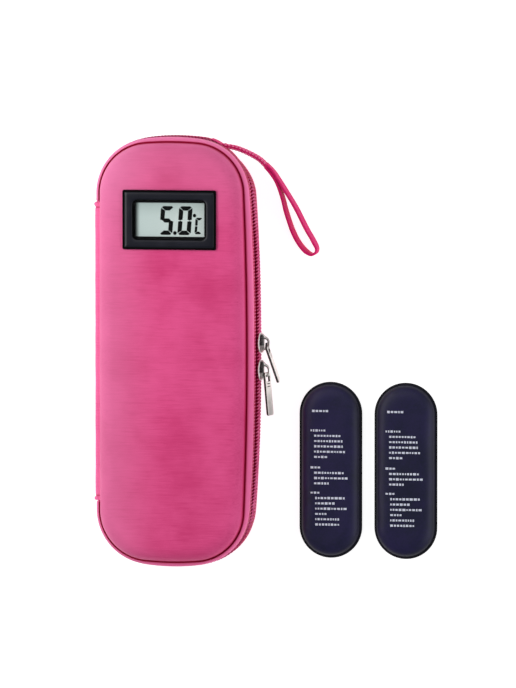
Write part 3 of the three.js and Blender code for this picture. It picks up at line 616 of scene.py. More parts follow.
def zipRow():
    # the groove line without the spine, anticlockwise from the lower end of the left side
    form, radius = caseForm, caseForm["corner"]
    side = math.atan2(rightCorner[1], rightCorner[0] - sideMiddle)
    rightEnd = math.atan2(rightCorner[1] - endMiddle, rightCorner[0])
    leftEnd = math.atan2(leftCorner[1] - endMiddle, leftCorner[0])
    right = arcRow((sideMiddle, 0), sideRadius, -side, side, form["sideCount"])
    upper = np.vstack([
        arcRow(rightCorner, radius, side, rightEnd, form["cornerCount"]),
        arcRow((0, endMiddle), form["endRadius"], rightEnd, leftEnd, form["endCount"])[1:],
        arcRow(leftCorner, radius, leftEnd, math.pi, form["cornerCount"])[1:],
    ])
    lower = upper[::-1] * [1, -1, 1, -1]
    return np.vstack([lower, right[1:], upper[1:]])


def leftRow(places):
    places = np.asarray(places, float)
    left = np.full_like(places, -caseForm["halfWidth"])
    return np.stack([left, places, np.full_like(places, -1.0), np.zeros_like(places)], 1)


def wholeRow():
    # the closed outline: the zip's part, then the left side from its upper end down
    ramps = np.linspace(caseForm["rampEnd"], caseForm["restEnd"], 4)
    middle = np.linspace(caseForm["restEnd"], -caseForm["restEnd"], 100)[1:-1]
    return np.vstack([zipRow(), leftRow(np.concatenate([ramps, middle, -ramps[::-1]]))])


def swells(row):
    # shares of the side's and the ends' swell, and of the tuck under the spine
    form = caseForm
    x, y, nx = row[:, 0], row[:, 1], row[:, 2]
    side = np.where(x > 0, np.maximum(0, 1 - (np.abs(y) / form["sideFade"]) ** 4), 0)
    inEnd = np.abs(y) > form["halfLength"] - form["corner"]
    end = np.where(inEnd, np.maximum(0, 1 - (np.abs(x) / form["endFade"]) ** 2), 0)
    tuck = np.where(nx < -0.99, np.clip((form["rampEnd"] - np.abs(y)) / 0.8, 0, 1), 0)
    return side, end, tuck


def section(out, height, side=0.0, end=0.0, tuckOut=0.0, tuckDown=0.0):
    # points of a section: out from the groove line, height from the seam, and how each swells
    return np.stack(np.broadcast_arrays(out, height, side, end, tuckOut, tuckDown), -1)


def quarterSection(centre, run, rise, start, stop, count):
    # part of an ellipse: (out, height) = centre + (run times cosine, rise times sine)
    turn = np.linspace(math.radians(start), math.radians(stop), count)
    return centre[0] + run * np.cos(turn), centre[1] + rise * np.sin(turn), np.cos(turn), np.sin(turn)


def zipTuck(row):
    # how far the zip and the back half draw in behind the front rim round the strap's corner
    drawn = np.interp(row[:, 1], *caseForm["drawnAlong"])
    return drawn * np.interp(row[:, 0], *caseForm["drawnAcross"])


def carried(row, profile, facing):
    # the section set out at each point of the outline: outline + outward times out, seam + height
    side, end, tuck = (share[:, None] for share in swells(row))
    out = profile[:, 0] + side * profile[:, 2] + end * profile[:, 3]
    out = out - tuck * profile[:, 4] - (zipTuck(row)[:, None] if facing < 0 else 0)
    height = profile[:, 1] - tuck * profile[:, 5]
    flat = row[:, None, :2] + row[:, None, 2:] * out[..., None]
    return lifted(flat, (caseForm["seam"] + facing * height)[..., None])


def toHole(ring, hole, steps):
    # rings from the last ring of a section in to a rectangle: each point moves straight to where
    # its ray from the rectangle's middle meets the edge
    middle = np.array(hole["middle"])
    ray = ring[:, :2] - middle
    reach = np.abs(ray / [hole["halfWidth"], hole["halfHeight"]]).max(axis=1)
    edge = middle + ray / reach[:, None]
    shares = np.linspace(0, 1, steps + 1)[1:, None]
    flat = ring[:, None, :2] * (1 - shares) + edge[:, None] * shares
    return lifted(flat, ring[:, None, 2:])


def shellPiece(name, profile, facing, finish, hole, panelSteps, quilt=0.0):
    # a closed half: the section round the outline, and flat walls in to a hole or to the middle
    grid = carried(wholeRow(), profile, facing)
    inner = hole or {"middle": (0.0, 0.0), "halfWidth": 0.6, "halfHeight": 1.6}
    outerWall = toHole(grid[:, 0], inner, panelSteps)[:, ::-1]
    innerWall = toHole(grid[:, -1], inner, panelSteps)
    # the outer face's slow waves: two crossed sines that fade at the panel's edge
    x, y = outerWall[..., 0], outerWall[..., 1]
    wave = np.sin(x / 5.3 + np.sin(y / 9.0) * 1.7) * np.sin(y / 7.1 + np.sin(x / 6.0))
    share = np.linspace(0, 1, panelSteps + 1)[:-1]
    outerWall[..., 2] += facing * quilt * wave * (1 - share) * share * 4
    full = np.concatenate([outerWall, grid, innerWall], 1)
    rows, columns = full.shape[:2]
    points = full.reshape(-1, 3)
    faces = gridQuads(rows, columns, True, bool(hole)).tolist()
    if not hole:
        # triangles close both walls round their middles
        points = np.vstack([points, full[:, 0].mean(axis=0), full[:, -1].mean(axis=0)])
        first = np.arange(rows) * columns
        last = first + columns - 1
        lid = np.stack([np.full(rows, rows * columns), first, np.roll(first, -1)], 1)
        foot = np.stack([np.full(rows, rows * columns + 1), np.roll(last, -1), last], 1)
        faces += lid.tolist() + foot.tolist()
    return faceOut(addMesh(name, points, faces, finish)), full


halfForm = {
    "domeCentre": (-8.0, 12.0),
    "domeRun": 7.62,
    "domeRise": 6.8,
    "rimCentre": (0.38, 9.4),
    "rimRun": 1.55,
    "rimRise": 2.6,
    "rimSide": 1.1,
    "rimEnd": 0.45,
    "tuckOut": 0.5,
    "tuckDown": 1.1,
    "quilt": 0.11,
    "panelSteps": 26,
    "bowlCentre": (-8.0, 9.4),
    "bowlRun": 7,
    "bowlRise": 6.4,
    "foot": 3.1,
}
moduleHole = {"middle": (0.4, 65.2), "halfWidth": 21.3, "halfHeight": 12.65}
foamHole = {**moduleHole, "halfWidth": 24.7}


def bowlSection(inset, start, stop):
    # the hollow inside the half, drawn in by an inset
    form = halfForm
    run, rise = form["bowlRun"] - inset, form["bowlRise"] - inset
    return section(*quarterSection(form["bowlCentre"], run, rise, start, stop, 9)[:2])


def halfSection():
    form = halfForm
    swell, foot = (form["rimSide"], form["rimEnd"], form["tuckOut"]), form["foot"]
    arc = quarterSection(form["domeCentre"], form["domeRun"], form["domeRise"], 90, 0, 18)
    dome = section(*arc[:2])
    groove = section([-0.3, -0.12, 0.12, 0.3], [11.5, 11.15, 11.15, 11.5])
    out, height, cos, sin = quarterSection(form["rimCentre"], form["rimRun"], form["rimRise"], 90, 0, 12)
    rim = section(out, height, *(part * cos for part in swell), form["tuckDown"] * sin)
    wall = section([1.9, 1.82, 1.68, 1.45], [7.4, 5.2, 3.3, foot], *swell)
    lip = section([-0.9, -1.0], [foot, 3.25])
    return np.vstack([dome, groove, rim, wall, lip, bowlSection(0, 0, 90)])


def halfMarks(piece, full):
    # marks: painted shade down the groove, where the seam also runs dark, and on the wall under the rim,
    # less of it under the spine; and the rim, which is painted lighter
    profile = halfSection()
    out, height = profile[:, 0], profile[:, 1]
    seam = np.maximum(np.exp(-((out / 0.6) ** 4)) * (height > 10.9), (out > 1.4) & (height < 8.4))
    rim = (out > 0.3) & (height > 2.9)
    pad = (full.shape[1] - len(profile)) // 2
    spineShare = swells(wholeRow())[2][:, None]
    for name, values, faded in (("seam", seam, 0.9), ("rim", rim, 0)):
        marks = (np.pad(values.astype(float), pad) * (1 - faded * spineShare)).ravel()
        setMark(piece, name, np.pad(marks, (0, len(piece.data.vertices) - marks.size)))


def bowlWall(outerInset, innerInset, foot):
    # out along one bowl, over its foot and back along the other
    outer, inner = bowlSection(outerInset, 90, 0), bowlSection(innerInset, 0, 90)
    return np.vstack([outer, foot(outer[-1, 0], inner[0, 0]), inner])


def liningSection():
    top, low = 2.8, 2.1
    return bowlWall(3.0, 3.7, lambda outer, inner: section(
        [outer, -2.3, -2.2, -2.3, inner], [top, top, 2.45, low, low]))


def foamSection():
    return bowlWall(0.3, 2.7, lambda outer, inner: section([outer, inner], halfForm["foot"]))


for prefix, body, facing, hole in (("back", "root", -1, None), ("front", "cover", 1, moduleHole)):
    skin, steps = (prefix + "ShellSkin", halfSection(), facing), halfForm["panelSteps"]
    shell, full = shellPiece(*skin, "shell", hole, steps, halfForm["quilt"])
    halfMarks(shell, full)
    dress(shell, body, "shell_fabric", prefix + "_shell")
    foam, _ = shellPiece(prefix + "FoamLayer", foamSection(), facing, "foam", hole and foamHole, 6)
    dress(foam, body, "foam", prefix + "_insulation")
    lining, _ = shellPiece(prefix + "LiningCloth", liningSection(), facing, "lining", hole, 8)
    dress(lining, body, "lining_cloth", prefix + "_lining")
print("stage: shells, foam and lining are made")

# Zip: tapes and coils

zipForm = {
    "side": 2.5,
    "end": 0.6,
    "pitch": 1.62,
    "slant": 0.62,
    "thread": 0.42,
    "threadWide": 0.6,
    "endNarrow": 0.42,
    "tapeMost": 1.4,
    # out, height, and whether the point follows the coil
    "tape": (
        (0.3, 0.55, 1), (0.3, 2.8, 1), (-1.9, 2.8, 0), (-1.9, 2.2, 0), (-0.3, 2.2, 1), (-0.3, 0.55, 1),
    ),
    # out, height and fullness of one loop's thread
    "loop": (
        (0.72, 2.3, 0.38), (1.1, 2.38, 0.46), (1.5, 2.36, 0.72), (1.8, 2.1, 0.95),
        (1.9, 1.65, 1.0), (1.8, 1.22, 1.0), (1.5, 1.02, 0.9), (1.05, 0.98, 0.7),
    ),
    # height and fullness of one stitch's thread
    "stitch": ((3.0, 0.1), (3.4, 0.24), (4.6, 0.3), (6.2, 0.3), (7.6, 0.24), (8.3, 0.1)),
}


def zipTrack():
    return np.vstack([leftRow([-caseForm["zipEnd"]]), zipRow(), leftRow([caseForm["zipEnd"]])])


def zipBand(name, profile, facing, follow, most, smoothTurn=40.0):
    # a band along the zip; carried() draws the back one in round the strap's corner, and here the
    # front one follows, by no more than most
    track = zipTrack()
    grid = carried(track, profile, facing)
    if facing > 0:
        drawn = np.minimum(zipTuck(track), most)[:, None, None] * follow
        grid[..., :2] -= track[:, None, 2:] * drawn
    return tubeGrid(name, grid, "tape", smoothTurn)


def tapePiece(name, facing):
    out, height, follow = np.array(zipForm["tape"]).T
    profile = section(out, height, zipForm["side"] * follow, zipForm["end"] * follow)
    return zipBand(name, profile, facing, follow[:, None], zipForm["tapeMost"])


def corePiece(name, facing):
    # the cord that the coil's loops are wound round
    turn = around(10)
    out, height = 0.98 + 0.62 * np.cos(turn), 1.66 + 0.27 * np.sin(turn)
    profile = section(out, height, zipForm["side"], zipForm["end"])
    return zipBand(name, profile, facing, 1.0, math.inf, 80.0)


def zipSpots(start):
    # a spot for each loop of the coil, from a share of the pitch on, with its swells
    track = zipTrack()
    length = runLength(track[:, :2])
    count = int(length[-1] / zipForm["pitch"])
    row = sampled(track, length, (np.arange(count) + start) * length[-1] / count)
    row[:, 2:] = unit(row[:, 2:])
    return row, *swells(row)[:2]


def spotThreads(name, row, facing, ahead, reach, height, smoothTurn):
    # a thread at each spot: how far each point lies ahead, out and from the seam
    forward = np.stack([-row[:, 3], row[:, 2]], 1)[:, None, None]
    flat = row[:, None, None, :2] + row[:, None, None, 2:] * reach[..., None] + forward * ahead
    points = lifted(flat, caseForm["seam"] + facing * height)
    return faceOut(addMesh(name, points, tubeFaces(points.shape), "coil", smoothTurn))


def coilPiece(name, facing):
    # one loop of the coil: a thread that runs out over the tape, turns down and runs back
    form = zipForm
    out, height, full = np.array(form["loop"]).T
    line = np.stack([np.linspace(-1, 1, len(out)) * form["slant"], out, height], 1)
    step = unit(np.gradient(line, axis=0))
    wide = unit(np.array([1.0, 0, 0]) - step * step[:, :1])
    thick = np.cross(step, wide)
    turn, full = around(6)[:, None], full[:, None, None]
    loop = (
        line[:, None]
        + wide[:, None] * (form["threadWide"] * np.cos(turn)) * full
        + thick[:, None] * (form["thread"] * np.sin(turn)) * (full * 0.5 + 0.5)
    )
    row, side, end = zipSpots(0.5)
    swell = form["side"] * side + form["end"] * end - zipTuck(row)
    narrow = 1 - form["endNarrow"] * (1 - side) * (row[:, 1] > 0)
    ahead = loop[..., :1] * narrow[:, None, None, None]
    reach = loop[..., 1] + swell[:, None, None]
    return spotThreads(name, row, facing, ahead, reach, loop[..., 2:], 60.0)


def wallStitches(name, facing):
    # short upright threads on the shell's wall, one beside each loop of the coil
    height, full = np.array(zipForm["stitch"]).T[..., None]
    out = np.interp(height, [3.1, 5.2, 7.4, 9.4], [1.62, 1.86, 1.95, 1.97])
    turn = around(6)
    row, side, end = zipSpots(0.2)
    swell = halfForm["rimSide"] * side + halfForm["rimEnd"] * end - (zipTuck(row) if facing < 0 else 0)
    reach = out + full * 0.7 * np.sin(turn) + swell[:, None, None]
    return spotThreads(name, row, facing, (full * np.cos(turn))[..., None], reach, height[:, None], 80.0)


for prefix, body, facing in (("back", "root", -1), ("front", "cover", 1)):
    dress(wallStitches(prefix + "ZipStitches", facing), body, "zip_coil")
    dress(tapePiece(prefix + "ZipTape", facing), body, "zip_tape", prefix + "_zip_tape")
    dress(corePiece(prefix + "ZipCore", facing), body, "zip_tape")
    dress(coilPiece(prefix + "ZipCoil", facing), body, "zip_coil", prefix + "_zip_teeth")
print("stage: zip tapes and coils are made")

# Spine: one strip of fabric along the hinge side

spineForm = {
    "half": 73.0,
    "rows": 150,
    "thickness": 0.8,
    "hinge": -39.2,
    "bendHalf": 8.0,
    "edgeHeight": 12.0,
    "endRoll": 0.55,
    "endRollPlace": 72.2,
    "endRollWidth": 0.75,
    "outerEdge": ((-0.43, 12.62), (-0.3, 12.36), (-0.12, 12.16), (0.12, 12.04)),
    "innerEdge": ((-0.42, 12.2), (-0.2, 11.75), (0.1, 11.35)),
}


def spineLine(edge, run, rise, inset):
    # a section's line from its front edge over the rim to the seam, and its mirror image behind
    centre = halfForm["rimCentre"]
    down = np.linspace(1, 0, 9)[1:]
    rim = np.stack(quarterSection(centre, run, rise, 90, 0, 10)[:2], 1)
    side = np.stack([3.15 - 0.62 * down**1.6 - inset, centre[1] * down], 1)
    line = np.vstack([edge, rim, side])
    return np.vstack([line, line[-2::-1] * [1, -1]])


def spinePiece():
    # the outer line runs from panel to panel over both grooves, the inner one a thickness inside
    form, half = spineForm, spineForm["half"]
    outer = spineLine(form["outerEdge"], 2.15, 2.6, 0)
    inner = spineLine(form["innerEdge"], 1.35, 1.8, form["thickness"])[::-1]
    out, height = np.vstack([outer, inner]).T
    fine = np.linspace(0, 3.2, 14)[1:-1]
    even = np.linspace(-half, half, form["rows"])
    places = np.unique(np.concatenate([even, half - fine, fine - half]))
    # a folded hem swells near each end, with a slack crease behind it
    toRoll = np.abs(places) - form["endRollPlace"]
    crease = np.exp(-(((toRoll + 1.5) / 0.5) ** 2))
    swell = form["endRoll"] * np.exp(-((toRoll / form["endRollWidth"]) ** 2)) - 0.28 * crease
    ripple = 0.05 * np.sin(places / 3.1) * np.sin(places / 7.7)
    fromEdge = form["edgeHeight"] - np.abs(height)
    share = (np.arange(len(out)) < len(outer)) * np.clip(fromEdge / 1.5, 0, 1)
    x = -caseForm["halfWidth"] - (out + share * (swell + ripple)[:, None])
    grid = np.stack(np.broadcast_arrays(x, places[:, None], caseForm["seam"] + height), -1)
    piece = tubeGrid("spineStrip", grid, "spine", 50.0)
    # painted shadow in the slack crease behind each hem, and faint painted shade along the strip's front
    # edge
    setMark(piece, "seam", np.maximum(crease[:, None] * 0.7, np.exp(-((fromEdge / 0.35) ** 2)) * 0.1))
    return piece


spine = spinePiece()
hinge, bend = spineForm["hinge"] * mm, spineForm["bendHalf"]
low, high = ((caseForm["seam"] + step) * mm for step in (-bend, bend))
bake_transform(spine)
dress(spine, None, "spine_fabric", "spine_back", "spine_front")
print("stage: spine is made")

# Wrist strap: sewn tab, doubled stitched root and the free loop

strapForm = {
    "width": 5.6,
    "thickness": 1.15,
    "leanAt": (0, 0.12, 0.3, 0.46, 0.51, 0.56, 0.85, 1),
    "lean": (0, 4, 8, 10, 0, -9, -7, 0),
    "rootThickness": 1.95,
    "rootCorner": 0.32,
    "rootNotch": 0.45,
    "stitchStep": 1.7,
    "stitchLength": 1.1,
    "stitchRadius": 0.16,
    # a stitch's places along it and how full it is there
    "stitch": ((-1, 0.25), (-0.86, 0.7), (-0.5, 1), (0, 1.05), (0.5, 1), (0.86, 0.7), (1, 0.25)),
    "tabTurn": (63, 77),
    # the tab's section: out and height
    "tab": (
        (2.1, 9.0), (2.1, 3.6), (2.15, 3.2), (2.2, 3.0), (2.2, 0.75), (2.25, 0.6),
        (2.45, 0.6), (2.55, 0.8), (2.55, 8.2), (2.45, 8.9), (2.2, 9.0),
    ),
    # its hem's rings: radius and depth behind the seam
    "hem": (
        (0.42, 0.75), (0.5, 0.62), (0.8, 0.6), (0.95, 0.8),
        (0.95, 8.7), (0.8, 8.95), (0.5, 8.9), (0.42, 8.7),
    ),
}
rootRoute = [
    (23.2, 100.4, 15.4), (26.4, 100.1, 15.2), (29.7, 99.35, 14.8), (32.6, 98.25, 14.2),
    (37.3, 95.9, 13.0), (40.6, 93.8, 12.1), (43.0, 91.4, 11.4), (43.7, 90.6, 11.1),
]
loopRoute = [
    (42.9, 90.5, 11.2), (45.6, 87.3, 10.2), (47.9, 83.7, 9.1), (49.9, 78.75, 8.0), (51.3, 73.8, 7.0),
    (52.4, 68.8, 6.2), (53.8, 63.9, 5.4), (55.4, 58.95, 4.6), (57.7, 54.0, 3.9), (60.0, 50.6, 3.4),
    (62.4, 48.2, 3.2), (64.9, 47.0, 3.2), (66.9, 48.0, 3.2), (67.4, 49.8, 3.2), (65.5, 54.0, 3.4),
    (62.7, 59.0, 4.0), (60.3, 63.9, 4.7), (58.0, 68.8, 5.6), (55.3, 73.8, 6.6), (52.4, 78.7, 7.6),
    (49.45, 83.9, 8.9), (46.9, 88.0, 10.1), (43.9, 91.5, 11.2),
]


def smoothRoute(points, count):
    # a centripetal spline through the points, then evenly spaced along its length
    points = np.asarray(points, float)
    points = np.vstack([2 * points[0] - points[1], points, 2 * points[-1] - points[-2]])
    knots = np.concatenate([[0], np.cumsum(np.linalg.norm(np.diff(points, axis=0), axis=1) ** 0.5)])
    share = np.linspace(0, 1, 24, endpoint=False)
    t0, t1, t2, t3 = (knots[at : len(knots) - 3 + at, None, None] for at in range(4))
    p0, p1, p2, p3 = (points[at : len(points) - 3 + at, None] for at in range(4))
    t = t1 + (t2 - t1) * share[None, :, None]

    def between(low, high, first, last):
        return (high - t) / (high - low) * first + (t - low) / (high - low) * last

    a1, a2, a3 = between(t0, t1, p0, p1), between(t1, t2, p1, p2), between(t2, t3, p2, p3)
    line = between(t1, t2, between(t0, t2, a1, a2), between(t1, t3, a2, a3)).reshape(-1, 3)
    line = np.vstack([line, points[-2]])
    length = runLength(line)
    return sampled(line, length, np.linspace(0, length[-1], count))


def routeFrames(line):
    # along the route, across it on the level, and up at right angles to both
    ahead = unit(np.gradient(line, axis=0))
    up = unit(np.array([0, 0, 1.0]) - ahead * ahead[:, 2:])
    return ahead, np.cross(up, ahead), up


def ribbonPiece(name, line, outline, finish, breathe=0.0, lean=0.0):
    # the outline's (thick, wide) points carried along the route, standing on edge or leaning
    ahead, across, up = routeFrames(line)
    tip = np.radians(np.broadcast_to(lean, len(line)))[:, None]
    across, up = across * np.cos(tip) + up * np.sin(tip), up * np.cos(tip) - across * np.sin(tip)
    length = runLength(line)
    full = 1 + breathe * np.sin(length / 2.3) * np.sin(length / 5.9)
    thick = outline[None, :, :1] * full[:, None, None]
    grid = line[:, None] + across[:, None] * thick + up[:, None] * outline[None, :, 1:]
    return tubeGrid(name, grid, finish, 55.0)


def flatOutline(thickness, width, radius=0.3, notch=0.0):
    # a flat band's section: rounded edges, and where it is doubled a notch between its layers
    halfWide = width / 2
    turn = np.linspace(0, math.pi / 2, 5)
    middle = np.array([thickness / 2, halfWide]) - radius
    corner = middle + radius * np.stack([np.cos(turn), np.sin(turn)], 1)
    if notch:
        corner = np.vstack([corner, [[0.14, halfWide], [0.0, halfWide - notch]]])
    mirror = corner[::-1] * [-1, 1]
    upper = np.vstack([corner, mirror[1:] if notch else mirror])
    return np.vstack([upper, upper * [-1, -1]])


def stitchRow(line, offset, level):
    # short threads lying on a face: capsules along the route at an offset across and a level up
    form, length, turn = strapForm, runLength(line), around(6)
    places = np.arange(1.2, length[-1] - 0.6, form["stitchStep"])
    rows = (sampled(rows, length, places)[:, None, None] for rows in (line, *routeFrames(line)))
    middle, ahead, across, up = rows
    share, full = np.array(form["stitch"]).T[..., None]
    full = full * form["stitchRadius"]
    ring = across * (full * np.cos(turn))[..., None] + up * (full * np.sin(turn))[..., None]
    middle = middle + across * offset + up * level
    points = middle + ahead * (share * form["stitchLength"] / 2)[..., None] + ring
    return addMesh("strapStitch", points, tubeFaces(points.shape), "stitch", 80.0)


def strapPieces():
    form, count = strapForm, 190
    loopLine = smoothRoute(loopRoute, count)
    lean = np.interp(np.linspace(0, 1, count), form["leanAt"], form["lean"])
    band = flatOutline(form["thickness"], form["width"])
    strap = ribbonPiece("wristStrapLoop", loopLine, band, "strap", 0.05, lean)
    tuple(loopLine[0] * mm)
    (loopLine * mm).tolist()
    dress(strap, "root", "strap_webbing", "wrist_strap")
    rootLine = smoothRoute(rootRoute, 50)
    band = flatOutline(form["rootThickness"], form["width"], form["rootCorner"], form["rootNotch"])
    root = ribbonPiece("strapDoubledRoot", rootLine, band, "root", 0.03)
    dress(root, "root", "strap_webbing", "strap_root")
    face, edge = form["rootThickness"] / 2 + 0.02, form["width"] / 2 + 0.02
    spots = [(side * face, level) for side in (1, -1) for level in (2.0, -2.0)]
    spots += [(0.62, edge), (-0.62, edge)]
    threads = [stitchRow(rootLine, offset, level) for offset, level in spots]
    dress(faceOut(joinPieces("strapStitches", threads)), "root", "strap_webbing")


def tabPiece():
    # a folded cloth tab round the seam at the corner, its end rolled into a hem
    row = arcRow(rightCorner, caseForm["corner"], *map(math.radians, strapForm["tabTurn"]), 22)
    out, height = np.array(strapForm["tab"]).T
    flap = tubeGrid("tabFlap", carried(row, section(out, height, 1.1, 0.45), -1), "root", 50.0)
    x, y, outX, outY = row[0]
    reach = 2.4 - zipTuck(row[:1])[0]
    middle = np.array([x + outX * reach + outY * 0.35, y + outY * reach - outX * 0.35])
    turn = around(24)
    radius, depth = np.array(strapForm["hem"]).T[..., None]
    flat = middle + radius * np.stack([np.cos(turn), np.sin(turn)], 1)[:, None]
    hem = faceOut(ringMesh("tabHem", lifted(flat, caseForm["seam"] - depth), "root", 50.0))
    hem.data.uv_layers.new(name="UVMap")
    return dress(joinPieces("strapTab", [flap, hem]), "root", "strap_webbing", "strap_anchor")


strapPieces()
tabPiece()
print("stage: strap is made")

# Display module

# rings are width, height, corner radius and level
displayForm = {
    "middle": moduleHole["middle"],
    "cornerSteps": 9,
    # below this level the frame's faces take the black material as painted shade
    "paintedShadeBelow": 38.6,
    # outer edge, low band, bevel, flat face, soft edge of the window, its wall, then the underside
    # and the skirt; the last number says how much painted shade a ring gets
    "frame": (
        (46.4, 29.1, 0.8, 37.92, 1), (46.4, 29.1, 0.8, 38.5, 1), (46.2, 28.9, 0.75, 38.62, 1),
        (44.4, 27.1, 0.7, 38.56, 1), (44.3, 27.0, 0.7, 38.6, 0.5), (44.1, 26.8, 0.68, 38.66, 0),
        (42.5, 25.4, 0.6, 39.08, 0), (42.1, 25.0, 0.6, 39.1, 0), (38.6, 21.5, 2.8, 39.1, 0),
        (37.9, 20.8, 2.9, 39.07, 0), (37.3, 20.2, 2.8, 38.97, 0), (36.8, 19.7, 2.6, 38.78, 0.5),
        (36.3, 19.3, 2.2, 38.4, 1), (35.9, 19.05, 1.8, 37.95, 1), (35.8, 19.0, 1.6, 37.7, 1),
        (39.4, 22.1, 1.2, 37.7, 0), (39.6, 22.3, 1.2, 37.5, 0), (39.6, 22.3, 1.2, 34.1, 0),
        (39.8, 22.5, 1.2, 33.9, 0), (41.8, 24.5, 0.8, 33.9, 0), (42.0, 24.7, 0.8, 34.1, 0),
        (42.0, 24.7, 0.8, 37.6, 0), (42.2, 24.9, 0.8, 37.92, 0.5),
    ),
    # outer edge, then up its opening
    "mask": (
        (38.6, 21.4, 0.8, 36.36), (38.6, 21.4, 0.8, 36.54), (34.3, 16.7, 0.35, 36.54),
        (34.1, 16.5, 0.3, 36.5), (34.1, 16.5, 0.3, 36.36),
    ),
}


def roundedRing(width, height, radius, level):
    # a rounded rectangle at a level, the same number of points round each corner
    quarter = np.arange(4)[:, None] + np.linspace(0, 1, displayForm["cornerSteps"])
    turn = quarter * (math.pi / 2)
    signs = np.array([(1, 1), (-1, 1), (-1, -1), (1, -1)])
    centre = displayForm["middle"] + signs * (np.array([width, height]) / 2 - radius)
    ring = centre[:, None] + radius * np.stack([np.cos(turn), np.sin(turn)], -1)
    return lifted(ring.reshape(-1, 2), level)


def bezelPiece():
    rings = displayForm["frame"]
    grid = np.stack([roundedRing(*ring[:4]) for ring in rings], 1)
    piece = ringMesh("displayFrame", grid, "bezel", 24.0)
    # painted shade on the outer band, where the frame meets the cloth, and down the window's wall
    setMark(piece, "paintedShade", np.broadcast_to(np.array(rings)[:, 4], grid.shape[:2]))
    # painted shade: its outer band and the window's wall take the black, hardly shining material
    middles = np.empty(len(piece.data.polygons) * 3)
    piece.data.polygons.foreach_get("center", middles)
    piece.data.materials.append(finishes["mask"].material)
    dull = middles[2::3] < displayForm["paintedShadeBelow"] * mm
    piece.data.polygons.foreach_set("material_index", dull.astype(np.int32))
    return dress(faceOut(piece), "cover", "bezel_plastic", "display_bezel")


digitFoot, digitTall = 57.81, 14.05
digitForm = {
    "slant": 0.075,
    "level": 36.32,
    "depth": 0.04,
    # left edge, foot, width, height, stroke, gap and the strokes that show
    "signs": (
        (-5.0, digitFoot, 6.5, digitTall, 2.12, 0.1, ("top", "upLeft", "middle", "lowRight", "bottom")),
        (4.0, digitFoot, 6.65, digitTall, 2.12, 0.1,
         ("top", "upLeft", "upRight", "lowLeft", "lowRight", "bottom")),
        (12.5, 58.3, 3.5, 8.0, 1.22, 0.07, ("top", "upLeft", "lowLeft", "bottom")),
    ),
    # middle and radius
    "dots": ((2.85, 58.75, 0.92), (12.6, 67.35, 0.86)),
}


def digitStrokes(w, h, t, g):
    # the seven strokes of a digit in a box w wide and h high, t thick with gaps g between them,
    # each an outline with cut corners; most mirror one of two
    m, c, high = h / 2, 0.55 * t, h - t * 0.5 - g
    top = np.array([(c, h), (w - c, h), (w - c * 0.4, h - c * 0.5), (w - t - g * 0.4, h - t),
                    (t + g * 0.4, h - t), (c * 0.4, h - c * 0.5)])
    side = np.array([(0, high), (t * 0.1, high + t * 0.12), (t, h - t - g * 1.4),
                     (t, m + t * 0.2 + g), (t * 0.5, m + g), (0, m + t * 0.16 + g)])
    half, inner, tip = t * 0.48, t + g * 0.6, t * 0.5 + g
    middle = np.array([(tip, m), (inner, m + half), (w - inner, m + half),
                       (w - tip, m), (w - inner, m - half), (inner, m - half)])
    return {
        "top": top, "bottom": [0, h] + top * [1, -1], "middle": middle,
        "upLeft": side, "upRight": [w, 0] + side * [-1, 1],
        "lowLeft": [0, h] + side * [1, -1], "lowRight": [w, h] - side,
    }


def digitPiece():
    form = digitForm
    outlines = []
    for x, y, *box, names in form["signs"]:
        strokes = digitStrokes(*box)
        for name in names:
            lean = (strokes[name][:, 1:] + y - digitFoot) * form["slant"]
            outlines.append(strokes[name] + [x, y] + lean * [1, 0])
    turn = around(12)
    for x, y, radius in form["dots"]:
        outlines.append(np.stack([x + radius * np.cos(turn), y + radius * np.sin(turn) * 1.05], 1))
    points, faces, start = [], [], 0
    for outline in outlines:
        points += [lifted(outline, form["level"]), lifted(outline, form["level"] + form["depth"])]
        low = np.arange(len(outline)) + start
        high = low + len(outline)
        walls = np.stack([low, np.roll(low, -1), np.roll(high, -1), high], 1)
        faces += [low.tolist(), high.tolist(), *walls.tolist()]
        start += 2 * len(outline)
    piece = faceOut(addMesh("crystalDigits", np.vstack(points), faces, "ink", 10.0))
    return dress(piece, "cover", "lcd")


def maskPiece():
    # a thin black frame under the glass
    grid = np.stack([roundedRing(*ring) for ring in displayForm["mask"]], 1)
    return dress(faceOut(ringMesh("displayMask", grid, "mask", 24.0)), "cover", "bezel_plastic")


bezelPiece()
maskPiece()
digitPiece()
# these nodes of the frame keep their shapes and only get materials
plainNodes = {
    "window": ("display_window",),
    "panel": ("lcd_panel",),
    "rubber": ("elastomer_connector", "probe_gland"),
    "board": ("circuit_board",),
    "housing": ("module_housing", "retaining_clip_left", "retaining_clip_right", "battery_door"),
    "cell": ("battery_cell_left", "battery_cell_right"),
}
for finish, nodes in plainNodes.items():
    for name in nodes:
        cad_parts[name].material_slots[0].material = finishes[finish].material
print("stage: display is made")

# Sliders and pulls

